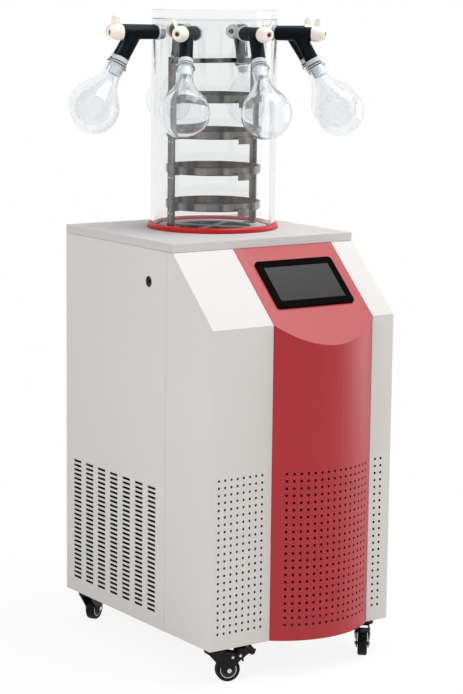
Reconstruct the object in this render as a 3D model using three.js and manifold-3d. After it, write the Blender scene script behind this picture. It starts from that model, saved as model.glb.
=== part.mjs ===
// Vertical laboratory freeze dryer with a clear drying chamber, four trays and a ring of flask valves.
// Millimetres. X runs across the cabinet, -Y is its front and +Z is up. The finished group stands with
// its origin at the middle of the base of its bounding box.
import * as THREE from "three";
import { mergeVertices } from "three/addons/utils/BufferGeometryUtils.js";
import Module from "manifold-3d";

// ---- Driving dimensions -------------------------------------------------------------------------

const GAP = 0.3; // clearance between pieces that seat on each other
const SHEET = 1.5; // painted steel sheet

// Cabinet, measured from its bottom edge and its front face
const CABINET_WIDTH = 450;
const CABINET_DEPTH = 565;
const BODY_HEIGHT = 787; // up to the underside of the top plate
const SLOPE_RISE = 137; // from the fold to the top
const SLOPE_RUN = 146; // how far the slope leans back
const SEAM_SETBACK = 22; // seam of front cover and side panel, behind the slope's top edge
const SEAM_FLANGE = 12; // folded edge of the cover behind the seam

// Top plate
const TOP_HEIGHT = 18;
const TOP_SHEET = 2;

// Red front panel: a strip of the front and slope that bows forward below the fold
const RED_MARGIN = 55; // white strip to its right
const RED_WIDTH = 249;
const RED_BOW = 46; // how far the bow stands forward
const RED_RETURN = 12; // depth of its folded edges

// Touch screen on the slope
const SCREEN_WIDTH = 193;
const SCREEN_HEIGHT = 122;
const SCREEN_THICKNESS = 4;
const SCREEN_CORNER = 8;
const SCREEN_SHIFT = 2; // from the middle of the red panel
const SCREEN_UP_SLOPE = 99; // middle of the screen above the fold, along the slope
const DISPLAY_WIDTH = 162;
const DISPLAY_HEIGHT = 88;
const DISPLAY_SINK = 0.8;
const SCREEN_BOX_DEPTH = 28;

// Frame
const PAN_SHEET = 2;
const PAN_LIP = 25;
const POST_SIZE = 20;

// Cooling slots low in the left side panel
const SLOT_LENGTH = 29.4;
const SLOT_HEIGHT = 5;
const SLOT_COLUMNS = 7;
const SLOT_ROWS = 27;
const SLOT_COLUMN_PITCH = 49.5;
const SLOT_ROW_PITCH = 9.95;
const SLOT_FIRST_DEPTH = 219.8; // middle of the first column behind the front face
const SLOT_FIRST_HEIGHT = 34.8; // middle of the lowest row

// Vacuum port in the left side panel
const VACUUM_PORT_DEPTH = 234.6; // from the front face
const VACUUM_PORT_DROP = 67; // below the top plate
const VACUUM_PORT_HOLE = 11.5; // radius
const PORT_HOLE_STEPS = 20;
const VACUUM_PORT_BORE = 5;

// Refrigeration
const COMPRESSOR_RADIUS = 75;
const COMPRESSOR_HEIGHT = 190;
const COMPRESSOR_X = -75; // from the cabinet's middle
const COMPRESSOR_TO_CONDENSER = 65;
const CONDENSER_X = 60;
const CONDENSER_WIDTH = 210;
const CONDENSER_HEIGHT = 210;
const CONDENSER_THICKNESS = 44;
const FIN_COUNT = 13;
const FAN_RADIUS = 88;
const FAN_DEPTH = 18;
const FAN_BLADES = 5;

const MODULE_SIZE = [140, 70, 190]; // electronics box

// Mains inlet module in the rear panel
const INLET_WIDTH = 60;
const INLET_HEIGHT = 48;
const INLET_DEPTH = 30;
const ROCKER_SIZE = [13, 8, 30]; // width, thickness, height
const ROCKER_TILT = 10; // degrees either side of level

// Casters
const CASTER_HEAD = 26; // from the wheel's top to the cabinet
const CASTER_PLATE = 52;
const CASTER_PLATE_THICKNESS = 3;
const CASTER_INSET = 35; // swivel axis from the cabinet's sides, front and back
const CASTER_HEADINGS = { front_left: -18, front_right: -129, rear_left: 32, rear_right: -60 };
const WHEEL_RADIUS = 25;
const WHEEL_WIDTH = 20;
const TRAIL = 27;
const AXLE_RADIUS = 4;
const CHEEK_THICKNESS = 2.5;
const SWIVEL_RADIUS = 22; // ball race under the plate
const BRAKE_PIVOT = [23, 5]; // behind the axle, above the wheel
const BRAKE_REACH = 33;
const BRAKE_PAD_WIDTH = 33;

// Drying chamber, measured from the top plate and the chamber's own axis
const CHAMBER_X = 24; // axis from the cabinet's middle
const CHAMBER_REAR = 193; // axis to the cabinet's rear face
const CHAMBER_RADIUS = 132.5;
const CHAMBER_WALL = 6;
const CHAMBER_TOP = 440;
const LID_THICKNESS = 19;
const LID_SPIGOT = 4;
const RING_OUTSIDE = 7.5; // how far the seal stands out from the tube
const RING_INSIDE = 5.5;
const RING_HEIGHT = 11;
const RING_SOLE = 3; // rubber under the chamber's edge
const ROUND_STEPS = 32;
const FITTING_STEPS = 8; // sides of a port fitting

// Cold trap under the chamber
const TRAP_FLANGE = 8; // its width
const TRAP_WALL = 2;
const TRAP_DEPTH = 255;
const COIL_TUBE = 4.75;
const COIL_TURNS = 3;
const COIL_PITCH = 58;
const COIL_STEPS = 16; // straight runs in one turn
const BAFFLE_THICKNESS = 2;
const BAFFLE_RIM = 28; // from the trap's wall in to the four openings
const BAFFLE_SPOKE = 11;
const BAFFLE_TURN = -10; // degrees

// Tray rack
const TRAY_COUNT = 4;
const TRAY_CLEARANCE = 25.5; // to the chamber's wall
const TRAY_HEIGHT = 16.4;
const TRAY_SHEET = 1.2;
const TRAY_PITCH = 75.5;
const FIRST_TRAY = 41.6; // underside of the lowest tray
const GRIP = { width: 28, stand: 12, drop: 15, below: 10.3 };
const POST_CLEARANCE = 2.8; // tray to post
const POST_WIDTH = 25;
const POST_SHEET = 2.5;
const RACK_RISE = 76.5; // posts above the top tray's rim
const LEDGE_REACH = 14;
const LEDGE_DROP = 14;

// Flask valves
const PORT_COUNT = 8;
const PORT_TURN = -7.2; // degrees, first port against the cabinet's left side
const PORT_HEIGHT = 412;
const PORT_BORE = 5;
const NUT_RADIUS = 14; // fitting's nut inside the chamber
const NUT_LENGTH = 9;
const COLLAR_RADIUS = 16; // its flange outside
const COLLAR_LENGTH = 2;
const STUB_RADIUS = 8;
const STUB_LENGTH = 20;
const VALVE_RADIUS = 14.5;
const VALVE_LENGTH = 79;
const LEG_START = 48; // leg axis along the valve body
const LEG_LEAN = 30.5; // degrees from plumb
const LEG_LENGTH = 62; // from the valve axis
const ADAPTER_RADIUS = 15.5;
const ADAPTER_LENGTH = 16;
const CONE_LENGTH = 20;
const KNOB_RADIUS = 16.5;
const KNOB_LENGTH = 29;
const SPINDLE_RADIUS = 7;
const WING_REACH = 33;
const VALVE_STEPS = 10;
const VALVE_ROLLS = [0, 10, -8, 0, -13, 2, -10, 0]; // degrees, how each valve hangs on its stub
const KNOB_TURNS = [0, 28, -33, -7, 5, -20, 15, -4]; // degrees, how each knob is left

// Flasks
const FLASK_RADIUS = 51.5;
const FLASK_WALL = 2;
const FLASK_NECK_RADIUS = 16.3;
const FLASK_NECK_LENGTH = 25;
const FLASK_BEAD_RADIUS = 19.5;
const FLASK_LENGTH = 156;
const FLASK_STEPS = 12;

// ---- Materials ----------------------------------------------------------------------------------

const material = (color, roughness, metalness = 0, opacity = 1) =>
  new THREE.MeshStandardMaterial({ color, roughness, metalness, opacity, transparent: opacity < 1 });

const paintedWhite = material("#cfcdc8", 0.45);
const paintedRed = material("#a8222a", 0.4);
const brushedSteel = material("#b9b7b4", 0.35, 1);
const zincSteel = material("#8f9396", 0.5, 1);
const copper = material("#b5683c", 0.4, 1);
const aluminium = material("#a9acae", 0.45, 1);
const blackPaint = material("#17181a", 0.5);
const blackPlastic = material("#141210", 0.3);
const redSilicone = material("#d8201f", 0.4);
const clearAcrylic = material("#f4f6f8", 0.1, 0, 0.25);
const clearGlass = material("#f2f5f7", 0.05, 0, 0.3);
const blackRubber = material("#15191d", 0.55);
const creamPlastic = material("#efe6d6", 0.45);

// ---- Solids -------------------------------------------------------------------------------------

const wasm = await Module();
wasm.setup();
const degrees = THREE.MathUtils.degToRad;

// A closed geometry as a solid that can be joined and cut. Triangles that shrink to a line on the
// axis of a turned form are dropped.
function solid(geometry) {
  const bare = new THREE.BufferGeometry();
  const flat = geometry.index ? geometry.toNonIndexed() : geometry;
  bare.setAttribute("position", flat.getAttribute("position"));
  const merged = mergeVertices(bare, 1e-4);
  const corners = merged.index.array;
  const kept = [];
  for (let i = 0; i < corners.length; i += 3) {
    const [a, b, c] = corners.slice(i, i + 3);
    if (a !== b && b !== c && c !== a) kept.push(a, b, c);
  }
  return new wasm.Manifold(
    new wasm.Mesh({
      numProp: 3,
      vertProperties: merged.getAttribute("position").array,
      triVerts: new Uint32Array(kept),
    }),
  );
}

function geometryOf(shape) {
  const { vertProperties, triVerts } = shape.getMesh();
  const geometry = new THREE.BufferGeometry();
  geometry.setAttribute("position", new THREE.BufferAttribute(vertProperties, 3));
  geometry.setIndex(new THREE.BufferAttribute(triVerts, 1));
  geometry.computeVertexNormals();
  return geometry;
}

const joined = (...shapes) => shapes.reduce((whole, shape) => whole.add(shape));
const cut = (shape, ...tools) => tools.reduce((rest, tool) => rest.subtract(tool), shape);

// Corner radius of a bore whose flats stay clear of a shaft turned to any angle
const boreAround = (radius, steps) => (radius + GAP) / Math.cos(Math.PI / steps);

// Box between two opposite corners
function box([x0, y0, z0], [x1, y1, z1]) {
  const geometry = new THREE.BoxGeometry(x1 - x0, y1 - y0, z1 - z0);
  return solid(geometry.translate((x0 + x1) / 2, (y0 + y1) / 2, (z0 + z1) / 2));
}

// Profile of [radius, height] points turned about +Z
function turnedGeometry(profile, steps) {
  const points = profile.map(([radius, height]) => new THREE.Vector2(radius, height));
  return new THREE.LatheGeometry(points, steps).rotateX(Math.PI / 2);
}
const turned = (profile, steps) => solid(turnedGeometry(profile, steps));

// Profile turned about +X
const turnedAlongX = (profile, steps) =>
  solid(turnedGeometry(profile, steps).rotateY(Math.PI / 2));

// Profile turned about -Y, so that its heights run towards the front
const turnedAlongY = (profile, steps) =>
  solid(turnedGeometry(profile, steps).rotateX(Math.PI / 2));

const drumProfile = (radius, low, high) => [
  [0, low],
  [radius, low],
  [radius, high],
  [0, high],
];
const drum = (radius, low, high, steps) => turned(drumProfile(radius, low, high), steps);
const drumAlongX = (radius, low, high, steps) =>
  turnedAlongX(drumProfile(radius, low, high), steps);
const drumAlongY = (radius, low, high, steps) =>
  turnedAlongY(drumProfile(radius, -high, -low), steps);

const polygon = (points) => new THREE.Shape(points.map(([x, y]) => new THREE.Vector2(x, y)));

function extrudedGeometry(shape, depth, curveSegments = 12) {
  return new THREE.ExtrudeGeometry(shape, { depth, bevelEnabled: false, curveSegments });
}

// Outline in X and Y pushed up from one height to another
const raised = (shape, low, high, curveSegments) =>
  solid(extrudedGeometry(shape, high - low, curveSegments).translate(0, 0, low));

// Outline in Y and Z, or several of them, pushed along X
function pushedAlongX(shape, left, right, curveSegments) {
  const turn = new THREE.Matrix4().makeBasis(
    new THREE.Vector3(0, 1, 0),
    new THREE.Vector3(0, 0, 1),
    new THREE.Vector3(1, 0, 0),
  );
  const geometry = extrudedGeometry(shape, right - left, curveSegments).applyMatrix4(turn);
  return solid(geometry.translate(left, 0, 0));
}

// Outline in X and Z pushed from back to front
function pushedAlongY(shape, front, back, curveSegments) {
  const turn = new THREE.Matrix4().makeBasis(
    new THREE.Vector3(1, 0, 0),
    new THREE.Vector3(0, 0, 1),
    new THREE.Vector3(0, -1, 0),
  );
  const geometry = extrudedGeometry(shape, back - front, curveSegments).applyMatrix4(turn);
  return solid(geometry.translate(0, back, 0));
}

function roundedRectangle(width, height, corner) {
  const [x, y] = [width / 2, height / 2];
  const shape = new THREE.Shape();
  shape.moveTo(-x + corner, -y);
  shape.lineTo(x - corner, -y);
  shape.absarc(x - corner, -y + corner, corner, -Math.PI / 2, 0, false);
  shape.lineTo(x, y - corner);
  shape.absarc(x - corner, y - corner, corner, 0, Math.PI / 2, false);
  shape.lineTo(-x + corner, y);
  shape.absarc(-x + corner, y - corner, corner, Math.PI / 2, Math.PI, false);
  shape.lineTo(-x, -y + corner);
  shape.absarc(-x + corner, -y + corner, corner, Math.PI, 1.5 * Math.PI, false);
  return shape;
}

// The same solid turned and moved as a child of a group would be
const moved = (shape, matrix) => solid(geometryOf(shape).applyMatrix4(matrix));
const shifted = (shape, x, y, z) => moved(shape, new THREE.Matrix4().makeTranslation(x, y, z));
const turnedAboutZ = (shape, angle) =>
  moved(shape, new THREE.Matrix4().makeRotationZ(degrees(angle)));

function piece(name, shape, look, parent) {
  const mesh = new THREE.Mesh(geometryOf(shape), look);
  mesh.name = name;
  parent.add(mesh);
  return mesh;
}

// ---- Layout -------------------------------------------------------------------------------------

const root = new THREE.Group();
const casterHeight = 2 * WHEEL_RADIUS + CASTER_HEAD;

// The cabinet's own frame: bottom edge at 0, front face at 0
const cabinet = new THREE.Group();
cabinet.position.z = casterHeight;
root.add(cabinet);

// The chamber's frame: its axis, on the top face of the top plate
const chamberDepth = CABINET_DEPTH - CHAMBER_REAR;
const chamber = new THREE.Group();
chamber.position.set(CHAMBER_X, chamberDepth, BODY_HEIGHT + TOP_HEIGHT);
cabinet.add(chamber);

const tubeInside = CHAMBER_RADIUS - CHAMBER_WALL;
const ringRadius = CHAMBER_RADIUS + RING_OUTSIDE;
const ringInnerRadius = tubeInside - RING_INSIDE;
const trapFlangeRadius = ringInnerRadius - 3;
const baffleRadius = trapFlangeRadius - 1;
const trapRadius = trapFlangeRadius - TRAP_FLANGE;
const baffleOpening = trapRadius - BAFFLE_RIM;
const trayRadius = tubeInside - TRAY_CLEARANCE;

const halfWidth = CABINET_WIDTH / 2;
const panelTop = BODY_HEIGHT - GAP;
const frameHalf = halfWidth - TOP_SHEET - GAP;
const frameRear = CABINET_DEPTH - TOP_SHEET - GAP;
const foldHeight = BODY_HEIGHT - SLOPE_RISE;
const seamDepth = SLOPE_RUN + SEAM_SETBACK;
const slopePitch = SLOPE_RISE / SLOPE_RUN;
const vacuumPortHeight = BODY_HEIGHT - VACUUM_PORT_DROP;
const slopeAngle = Math.atan(slopePitch);

// Side view of everything under the cover's front and slope, moved in by a depth
function coverProfile(depth, front, rear, low, high) {
  const fall = depth / Math.cos(slopeAngle);
  const slopeHeight = (y) => foldHeight + y * slopePitch - fall;
  const slopeDepth = (z) => (z - foldHeight + fall) / slopePitch;
  const top = Math.min(slopeDepth(high), rear);
  return polygon([
    [front, low],
    [rear, low],
    [rear, high],
    [top, high],
    [front, slopeHeight(front)],
  ]);
}

// ---- Frame and covers ---------------------------------------------------------------------------

const redRight = halfWidth - RED_MARGIN;
const redLeft = redRight - RED_WIDTH;
const redMiddle = (redLeft + redRight) / 2;
const coverReturn = RED_RETURN + GAP + SHEET;
const casterSpots = {
  front_left: [-halfWidth + CASTER_INSET, CASTER_INSET],
  front_right: [halfWidth - CASTER_INSET, CASTER_INSET],
  rear_left: [-halfWidth + CASTER_INSET, CABINET_DEPTH - CASTER_INSET],
  rear_right: [halfWidth - CASTER_INSET, CABINET_DEPTH - CASTER_INSET],
};

// Folded base pan, four corner posts, a top ring that carries the plate, and the caster plates
function buildBaseFrame() {
  const front = coverReturn + GAP;
  const postFront = seamDepth + 2 * GAP + SHEET;
  const ringTop = BODY_HEIGHT + TOP_HEIGHT - TOP_SHEET - GAP;
  const pan = cut(
    box([-frameHalf, front, 0], [frameHalf, frameRear, PAN_LIP]),
    box(
      [-frameHalf + PAN_SHEET, front + PAN_SHEET, PAN_SHEET],
      [frameHalf - PAN_SHEET, frameRear - PAN_SHEET, PAN_LIP + 1],
    ),
  );
  const ring = cut(
    box([-frameHalf, postFront, ringTop - PAN_SHEET], [frameHalf, frameRear, ringTop]),
    box(
      [-frameHalf + POST_SIZE, postFront + POST_SIZE, ringTop - PAN_SHEET - 1],
      [frameHalf - POST_SIZE, frameRear - POST_SIZE, ringTop + 1],
    ),
    shifted(
      drum(trapFlangeRadius + 2 * GAP, ringTop - PAN_SHEET - 1, ringTop + 1, ROUND_STEPS),
      CHAMBER_X,
      chamberDepth,
      0,
    ),
  );
  const anglePost = (side, y0, openTowards) => {
    const x0 = side < 0 ? -frameHalf : frameHalf - POST_SIZE;
    const hollow = box(
      [x0 + (side < 0 ? PAN_SHEET : -1), y0 + (openTowards > 0 ? PAN_SHEET : -1), 0],
      [
        x0 + POST_SIZE - (side < 0 ? -1 : PAN_SHEET),
        y0 + POST_SIZE - (openTowards > 0 ? -1 : PAN_SHEET),
        ringTop + 1,
      ],
    );
    return cut(box([x0, y0, PAN_SHEET / 2], [x0 + POST_SIZE, y0 + POST_SIZE, ringTop]), hollow);
  };
  const posts = [-1, 1].flatMap((side) => [
    anglePost(side, postFront, 1),
    anglePost(side, frameRear - POST_SIZE, -1),
  ]);
  const plates = Object.values(casterSpots).map(([x, y]) =>
    box(
      [x - CASTER_PLATE / 2, Math.max(y - CASTER_PLATE / 2, front), -CASTER_PLATE_THICKNESS],
      [x + CASTER_PLATE / 2, Math.min(y + CASTER_PLATE / 2, frameRear), PAN_SHEET / 2],
    ),
  );
  piece("base_frame", joined(pan, ring, ...posts, ...plates), zincSteel, cabinet);
}

// Flat side sheets; the left one has the cooling slots and the vacuum port's hole
function buildSidePanels() {
  const front = seamDepth + GAP;
  const left = -halfWidth;
  const sheet = (x) => box([x, front, 0], [x + SHEET, CABINET_DEPTH, panelTop]);
  const edges = [left - 1, left + SHEET + 1];
  const holes = pushedAlongX([...coolingSlots(), portHole()], ...edges, PORT_HOLE_STEPS);
  piece("side_panel_left", cut(sheet(left), holes), paintedWhite, cabinet);
  piece("side_panel_right", sheet(halfWidth - SHEET), paintedWhite, cabinet);
}

function portHole() {
  const hole = new THREE.Shape();
  hole.absarc(VACUUM_PORT_DEPTH, vacuumPortHeight, VACUUM_PORT_HOLE, 0, 2 * Math.PI, false);
  return hole;
}

function coolingSlots() {
  const slots = [];
  for (let column = 0; column < SLOT_COLUMNS; column += 1) {
    for (let row = 0; row < SLOT_ROWS; row += 1) {
      const y = SLOT_FIRST_DEPTH + column * SLOT_COLUMN_PITCH - SLOT_LENGTH / 2;
      const z = SLOT_FIRST_HEIGHT + row * SLOT_ROW_PITCH - SLOT_HEIGHT / 2;
      slots.push(
        polygon([
          [y, z],
          [y + SLOT_LENGTH, z],
          [y + SLOT_LENGTH, z + SLOT_HEIGHT],
          [y, z + SLOT_HEIGHT],
        ]),
      );
    }
  }
  return slots;
}

// Rear sheet between the side panels, with an opening for the mains inlet and a round fan grille
const inletCentre = [-halfWidth + 75, 110];
const fanCentre = [CONDENSER_X, 30 + CONDENSER_HEIGHT / 2];

function buildRearPanel() {
  const [low, high] = [CABINET_DEPTH - SHEET, CABINET_DEPTH];
  const edge = halfWidth - SHEET - GAP;
  const inlet = box(
    [inletCentre[0] - INLET_WIDTH / 2, low - 1, inletCentre[1] - INLET_HEIGHT / 2],
    [inletCentre[0] + INLET_WIDTH / 2, high + 1, inletCentre[1] + INLET_HEIGHT / 2],
  );
  const slot = (row, side) => {
    const z = fanCentre[1] + row * 22;
    const reach = Math.sqrt(FAN_RADIUS ** 2 - (row * 22) ** 2);
    const [x0, x1] = side < 0 ? [-reach, -6] : [6, reach];
    return box([fanCentre[0] + x0, low - 1, z - 5], [fanCentre[0] + x1, high + 1, z + 5]);
  };
  const rows = [-3, -2, -1, 0, 1, 2, 3];
  const slots = rows.flatMap((row) => [slot(row, -1), slot(row, 1)]);
  const sheet = box([-edge, low, 0], [edge, high, panelTop]);
  piece("rear_panel", cut(sheet, inlet, ...slots), paintedWhite, cabinet);
}

// One folded sheet: both front corners, the side returns and the white strips of the slope. Hidden
// cross strips behind the red panel hold its two halves together.
function buildFrontCover() {
  const outline = coverProfile(0, 0, seamDepth, 0, panelTop);
  const hollow = coverProfile(SHEET, SHEET, seamDepth + 1, -1, panelTop - SHEET);
  const shell = cut(
    pushedAlongX(outline, -halfWidth, halfWidth),
    pushedAlongX(hollow, -halfWidth + SHEET, halfWidth - SHEET),
  );
  const band = (depth, left, right) =>
    cut(
      pushedAlongX(outline, left, right),
      pushedAlongX(coverProfile(depth, depth, seamDepth + 1, -1, panelTop + 1), left - 1, right + 1),
    );
  const window = cut(
    pushedAlongX(coverProfile(0, -1, seamDepth, -1, panelTop + 1), redLeft - GAP, redRight + GAP),
    pushedAlongX(
      coverProfile(coverReturn - SHEET, coverReturn - SHEET, seamDepth + 1, -2, panelTop + 2),
      redLeft - 1,
      redRight + 1,
    ),
  );
  const returns = [
    band(coverReturn, redLeft - GAP - SHEET, redLeft - GAP),
    band(coverReturn, redRight + GAP, redRight + GAP + SHEET),
  ];
  const strip = box(
    [redLeft - SHEET, coverReturn - SHEET, 0],
    [redRight + SHEET, coverReturn, PAN_LIP + 15],
  );
  const flanges = [-1, 1].map((side) => {
    const [a, b] = [side * (halfWidth - SHEET / 2), side * (halfWidth - SHEET - SEAM_FLANGE)];
    const low = PAN_LIP + GAP;
    return box([Math.min(a, b), seamDepth - SHEET, low], [Math.max(a, b), seamDepth, panelTop]);
  });
  const cover = joined(cut(shell, window), ...returns, strip, ...flanges);
  piece("front_cover", cover, paintedWhite, cabinet);
}

// Plan of the red strip: a circular bow between its two edges, run back to a given depth
function bowPlan(inset, back) {
  const half = RED_WIDTH / 2;
  const radius = (half ** 2 + RED_BOW ** 2) / (2 * RED_BOW);
  const centreDepth = radius - RED_BOW;
  const bowRadius = radius - inset;
  const reach = half - inset;
  const start = Math.asin(reach / bowRadius);
  const shape = new THREE.Shape();
  shape.moveTo(redMiddle + reach, back);
  shape.lineTo(redMiddle - reach, back);
  shape.lineTo(redMiddle - reach, centreDepth - bowRadius * Math.cos(start));
  const from = -Math.PI / 2 - start;
  const to = -Math.PI / 2 + start;
  shape.absarc(redMiddle, centreDepth, bowRadius, from, to, false);
  shape.lineTo(redMiddle + reach, back);
  return shape;
}

const screenCentre = [redMiddle + SCREEN_SHIFT, SCREEN_UP_SLOPE];
const slopeGroup = new THREE.Group();
slopeGroup.position.set(screenCentre[0], 0, foldHeight);
slopeGroup.rotation.x = slopeAngle;
cabinet.add(slopeGroup);

// A solid drawn flat on the slope, its height along the slope and its depth along the normal
function onSlope(shape) {
  slopeGroup.updateMatrix();
  return moved(shape, slopeGroup.matrix);
}

function buildRedPanel() {
  const front = -RED_BOW - 1;
  const steps = 16;
  const outside = coverProfile(0, front, seamDepth, 0, panelTop);
  const behind = coverProfile(RED_RETURN, RED_RETURN, seamDepth + 1, -1, panelTop + 1);
  const inside = coverProfile(SHEET, front, seamDepth + 1, SHEET, panelTop - SHEET);
  const block = raised(bowPlan(0, seamDepth), -1, panelTop + 1, steps);
  const hollow = raised(bowPlan(SHEET, seamDepth + 1), -1, panelTop + 1, steps);
  const edges = [redLeft - 1, redRight + 1];
  const body = cut(block.intersect(pushedAlongX(outside, ...edges)), pushedAlongX(behind, ...edges));
  const skin = cut(body, hollow.intersect(pushedAlongX(inside, ...edges)));
  const window = raised(
    roundedRectangle(screenBox.width + 2 * GAP, screenBox.height + 2 * GAP, SCREEN_CORNER),
    -SHEET * 3,
    SHEET * 3,
    2,
  );
  piece(
    "red_front_panel",
    cut(skin, onSlope(shifted(window, 0, SCREEN_UP_SLOPE, 0))),
    paintedRed,
    cabinet,
  );
}

// Touch screen: a bezel that rests on the slope, a sunk display and the housing behind it
const screenBox = { width: DISPLAY_WIDTH + 10, height: DISPLAY_HEIGHT + 12 };

function buildTouchScreen() {
  const steps = 3;
  const bezel = raised(
    roundedRectangle(SCREEN_WIDTH, SCREEN_HEIGHT, SCREEN_CORNER),
    GAP,
    GAP + SCREEN_THICKNESS,
    steps,
  );
  const display = raised(
    roundedRectangle(DISPLAY_WIDTH, DISPLAY_HEIGHT, 2),
    GAP + SCREEN_THICKNESS - DISPLAY_SINK,
    GAP + SCREEN_THICKNESS + 1,
    1,
  );
  const housing = raised(
    roundedRectangle(screenBox.width, screenBox.height, SCREEN_CORNER),
    -SCREEN_BOX_DEPTH,
    GAP + 1,
    2,
  );
  const screen = joined(cut(bezel, display), housing);
  piece("touch_screen", screen, blackPlastic, slopeGroup).position.y = SCREEN_UP_SLOPE;
}

// Folded steel top with a skirt all round and a round opening for the cold trap
function buildTopPlate() {
  const high = BODY_HEIGHT + TOP_HEIGHT;
  const sheet = box([-halfWidth, SLOPE_RUN, BODY_HEIGHT], [halfWidth, CABINET_DEPTH, high]);
  const under = box(
    [-halfWidth + TOP_SHEET, SLOPE_RUN + TOP_SHEET, BODY_HEIGHT - 1],
    [halfWidth - TOP_SHEET, CABINET_DEPTH - TOP_SHEET, high - TOP_SHEET],
  );
  const opening = drum(trapRadius + 2 * GAP, high - TOP_SHEET - 1, high + 1, ROUND_STEPS);
  const plate = cut(sheet, under, shifted(opening, CHAMBER_X, chamberDepth, 0));
  piece("top_plate", plate, brushedSteel, cabinet);
}

// Nozzle in the left side panel: a flange behind the sheet and a sleeve through its hole
function buildVacuumPort() {
  const sheetInside = halfWidth - SHEET;
  const sleeve = VACUUM_PORT_HOLE - GAP;
  const profile = [
    [VACUUM_PORT_BORE, sheetInside - 34],
    [8, sheetInside - 34],
    [8, sheetInside - GAP - 5],
    [16, sheetInside - GAP - 5],
    [16, sheetInside - GAP],
    [sleeve, sheetInside - GAP],
    [sleeve, halfWidth - 0.5],
    [sleeve - 2, halfWidth - 0.5],
    [sleeve - 2, sheetInside - 4],
    [VACUUM_PORT_BORE + 1.6, sheetInside - 4],
    [VACUUM_PORT_BORE + 1.6, halfWidth - 2],
    [VACUUM_PORT_BORE, halfWidth - 2],
    [VACUUM_PORT_BORE, sheetInside - 34],
  ];
  const port = new THREE.Mesh(geometryOf(turned(profile, 12)), brushedSteel);
  port.name = "vacuum_port";
  port.rotation.y = -Math.PI / 2;
  port.position.set(0, VACUUM_PORT_DEPTH, vacuumPortHeight);
  cabinet.add(port);
}

// ---- Machinery inside the cabinet ---------------------------------------------------------------

const panTop = PAN_SHEET + GAP;
const fanBack = frameRear - 8;
const fanFront = fanBack - FAN_DEPTH - 8;
const condenserFront = fanFront - 14 - CONDENSER_THICKNESS;
const compressorDepth = condenserFront - COMPRESSOR_TO_CONDENSER - COMPRESSOR_RADIUS;

function buildCompressor() {
  const feet = 10;
  const [r, h] = [COMPRESSOR_RADIUS, COMPRESSOR_HEIGHT];
  const shell = turned(
    [
      [0, feet],
      [r - 12, feet],
      [r, feet + 14],
      [r, feet + h - 50],
      [r * 0.8, feet + h - 16],
      [r * 0.35, feet + h],
      [0, feet + h],
    ],
    16,
  );
  const base = box([-r - 14, -r + 20, feet], [r + 14, r - 20, feet + 3]);
  const grommets = [-1, 1].flatMap((x) =>
    [-1, 1].map((y) => shifted(drum(9, panTop, feet + 2, 8), x * (r + 2), y * (r - 32), 0)),
  );
  const pipes = [-1, 1].map((side) => shifted(drum(5, feet + h - 50, feet + h + 20, 8), side * 30, 0, 0));
  const compressor = joined(shell, base, ...grommets, ...pipes);
  piece("compressor", compressor, blackPaint, cabinet).position.set(COMPRESSOR_X, compressorDepth, 0);
}

// Finned block with the fan's square shroud and its motor arms behind it
function buildCondenser() {
  const [w, t, h] = [CONDENSER_WIDTH, CONDENSER_THICKNESS, CONDENSER_HEIGHT];
  const [front, back] = [condenserFront, fanBack];
  const low = fanCentre[1] - h / 2;
  const block = box([-w / 2, front, low], [w / 2, front + t, low + h]);
  const step = w / FIN_COUNT;
  const grooves = Array.from({ length: FIN_COUNT - 1 }, (_, i) => {
    const x = -w / 2 + (i + 1) * step;
    return box([x - step / 4, front - 1, low + 8], [x + step / 4, front + t * 0.6, low + h - 8]);
  });
  const shroud = cut(
    box([-w / 2, front + t - 1, low], [w / 2, back, low + h]),
    drumInShroud(front + t, back + 1),
  );
  const motor = drumAlongY(24, front + t - 1, fanFront, 16);
  const foot = box([-w / 2, front, panTop], [w / 2, front + t, low + 1]);
  const condenser = joined(cut(block, ...grooves), shroud, foot, shifted(motor, 0, 0, fanCentre[1]));
  piece("condenser", condenser, aluminium, cabinet).position.x = fanCentre[0];

  const fan = buildFan();
  const mesh = piece("condenser_fan", fan, blackPlastic, cabinet);
  mesh.position.set(fanCentre[0], fanFront + GAP, fanCentre[1]);
}

const drumInShroud = (front, back) =>
  shifted(drumAlongY(FAN_RADIUS + 5, front, back, 28), 0, 0, fanCentre[1]);

// Hub and pitched blades, turning about Y
function buildFan() {
  const hub = drumAlongY(26, 0, FAN_DEPTH, 16);
  const blade = (index) => {
    const flat = new THREE.BoxGeometry(FAN_RADIUS - 20, 2.5, 44);
    flat.translate((FAN_RADIUS - 20) / 2 + 20, 0, 0);
    flat.applyMatrix4(new THREE.Matrix4().makeRotationX(degrees(18)));
    flat.translate(0, FAN_DEPTH / 2, 0);
    return solid(flat.applyMatrix4(new THREE.Matrix4().makeRotationY(degrees((360 / FAN_BLADES) * index))));
  };
  return joined(hub, ...Array.from({ length: FAN_BLADES }, (_, i) => blade(i)));
}

// Electronics box on the rear panel's inside, above the condenser and left of the middle
function buildControlModule() {
  const [width, depth, height] = MODULE_SIZE;
  const back = CABINET_DEPTH - SHEET - GAP;
  const [left, low] = [-frameHalf + POST_SIZE + 8, fanCentre[1] + CONDENSER_HEIGHT / 2 + 10];
  const lid = box([left, back - depth, low], [left + width, back - depth + 4, low + height]);
  const body = box(
    [left + 4, back - depth + 3, low + 4],
    [left + width - 4, back, low + height - 4],
  );
  piece("control_module", joined(body, lid), zincSteel, cabinet);
}

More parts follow.
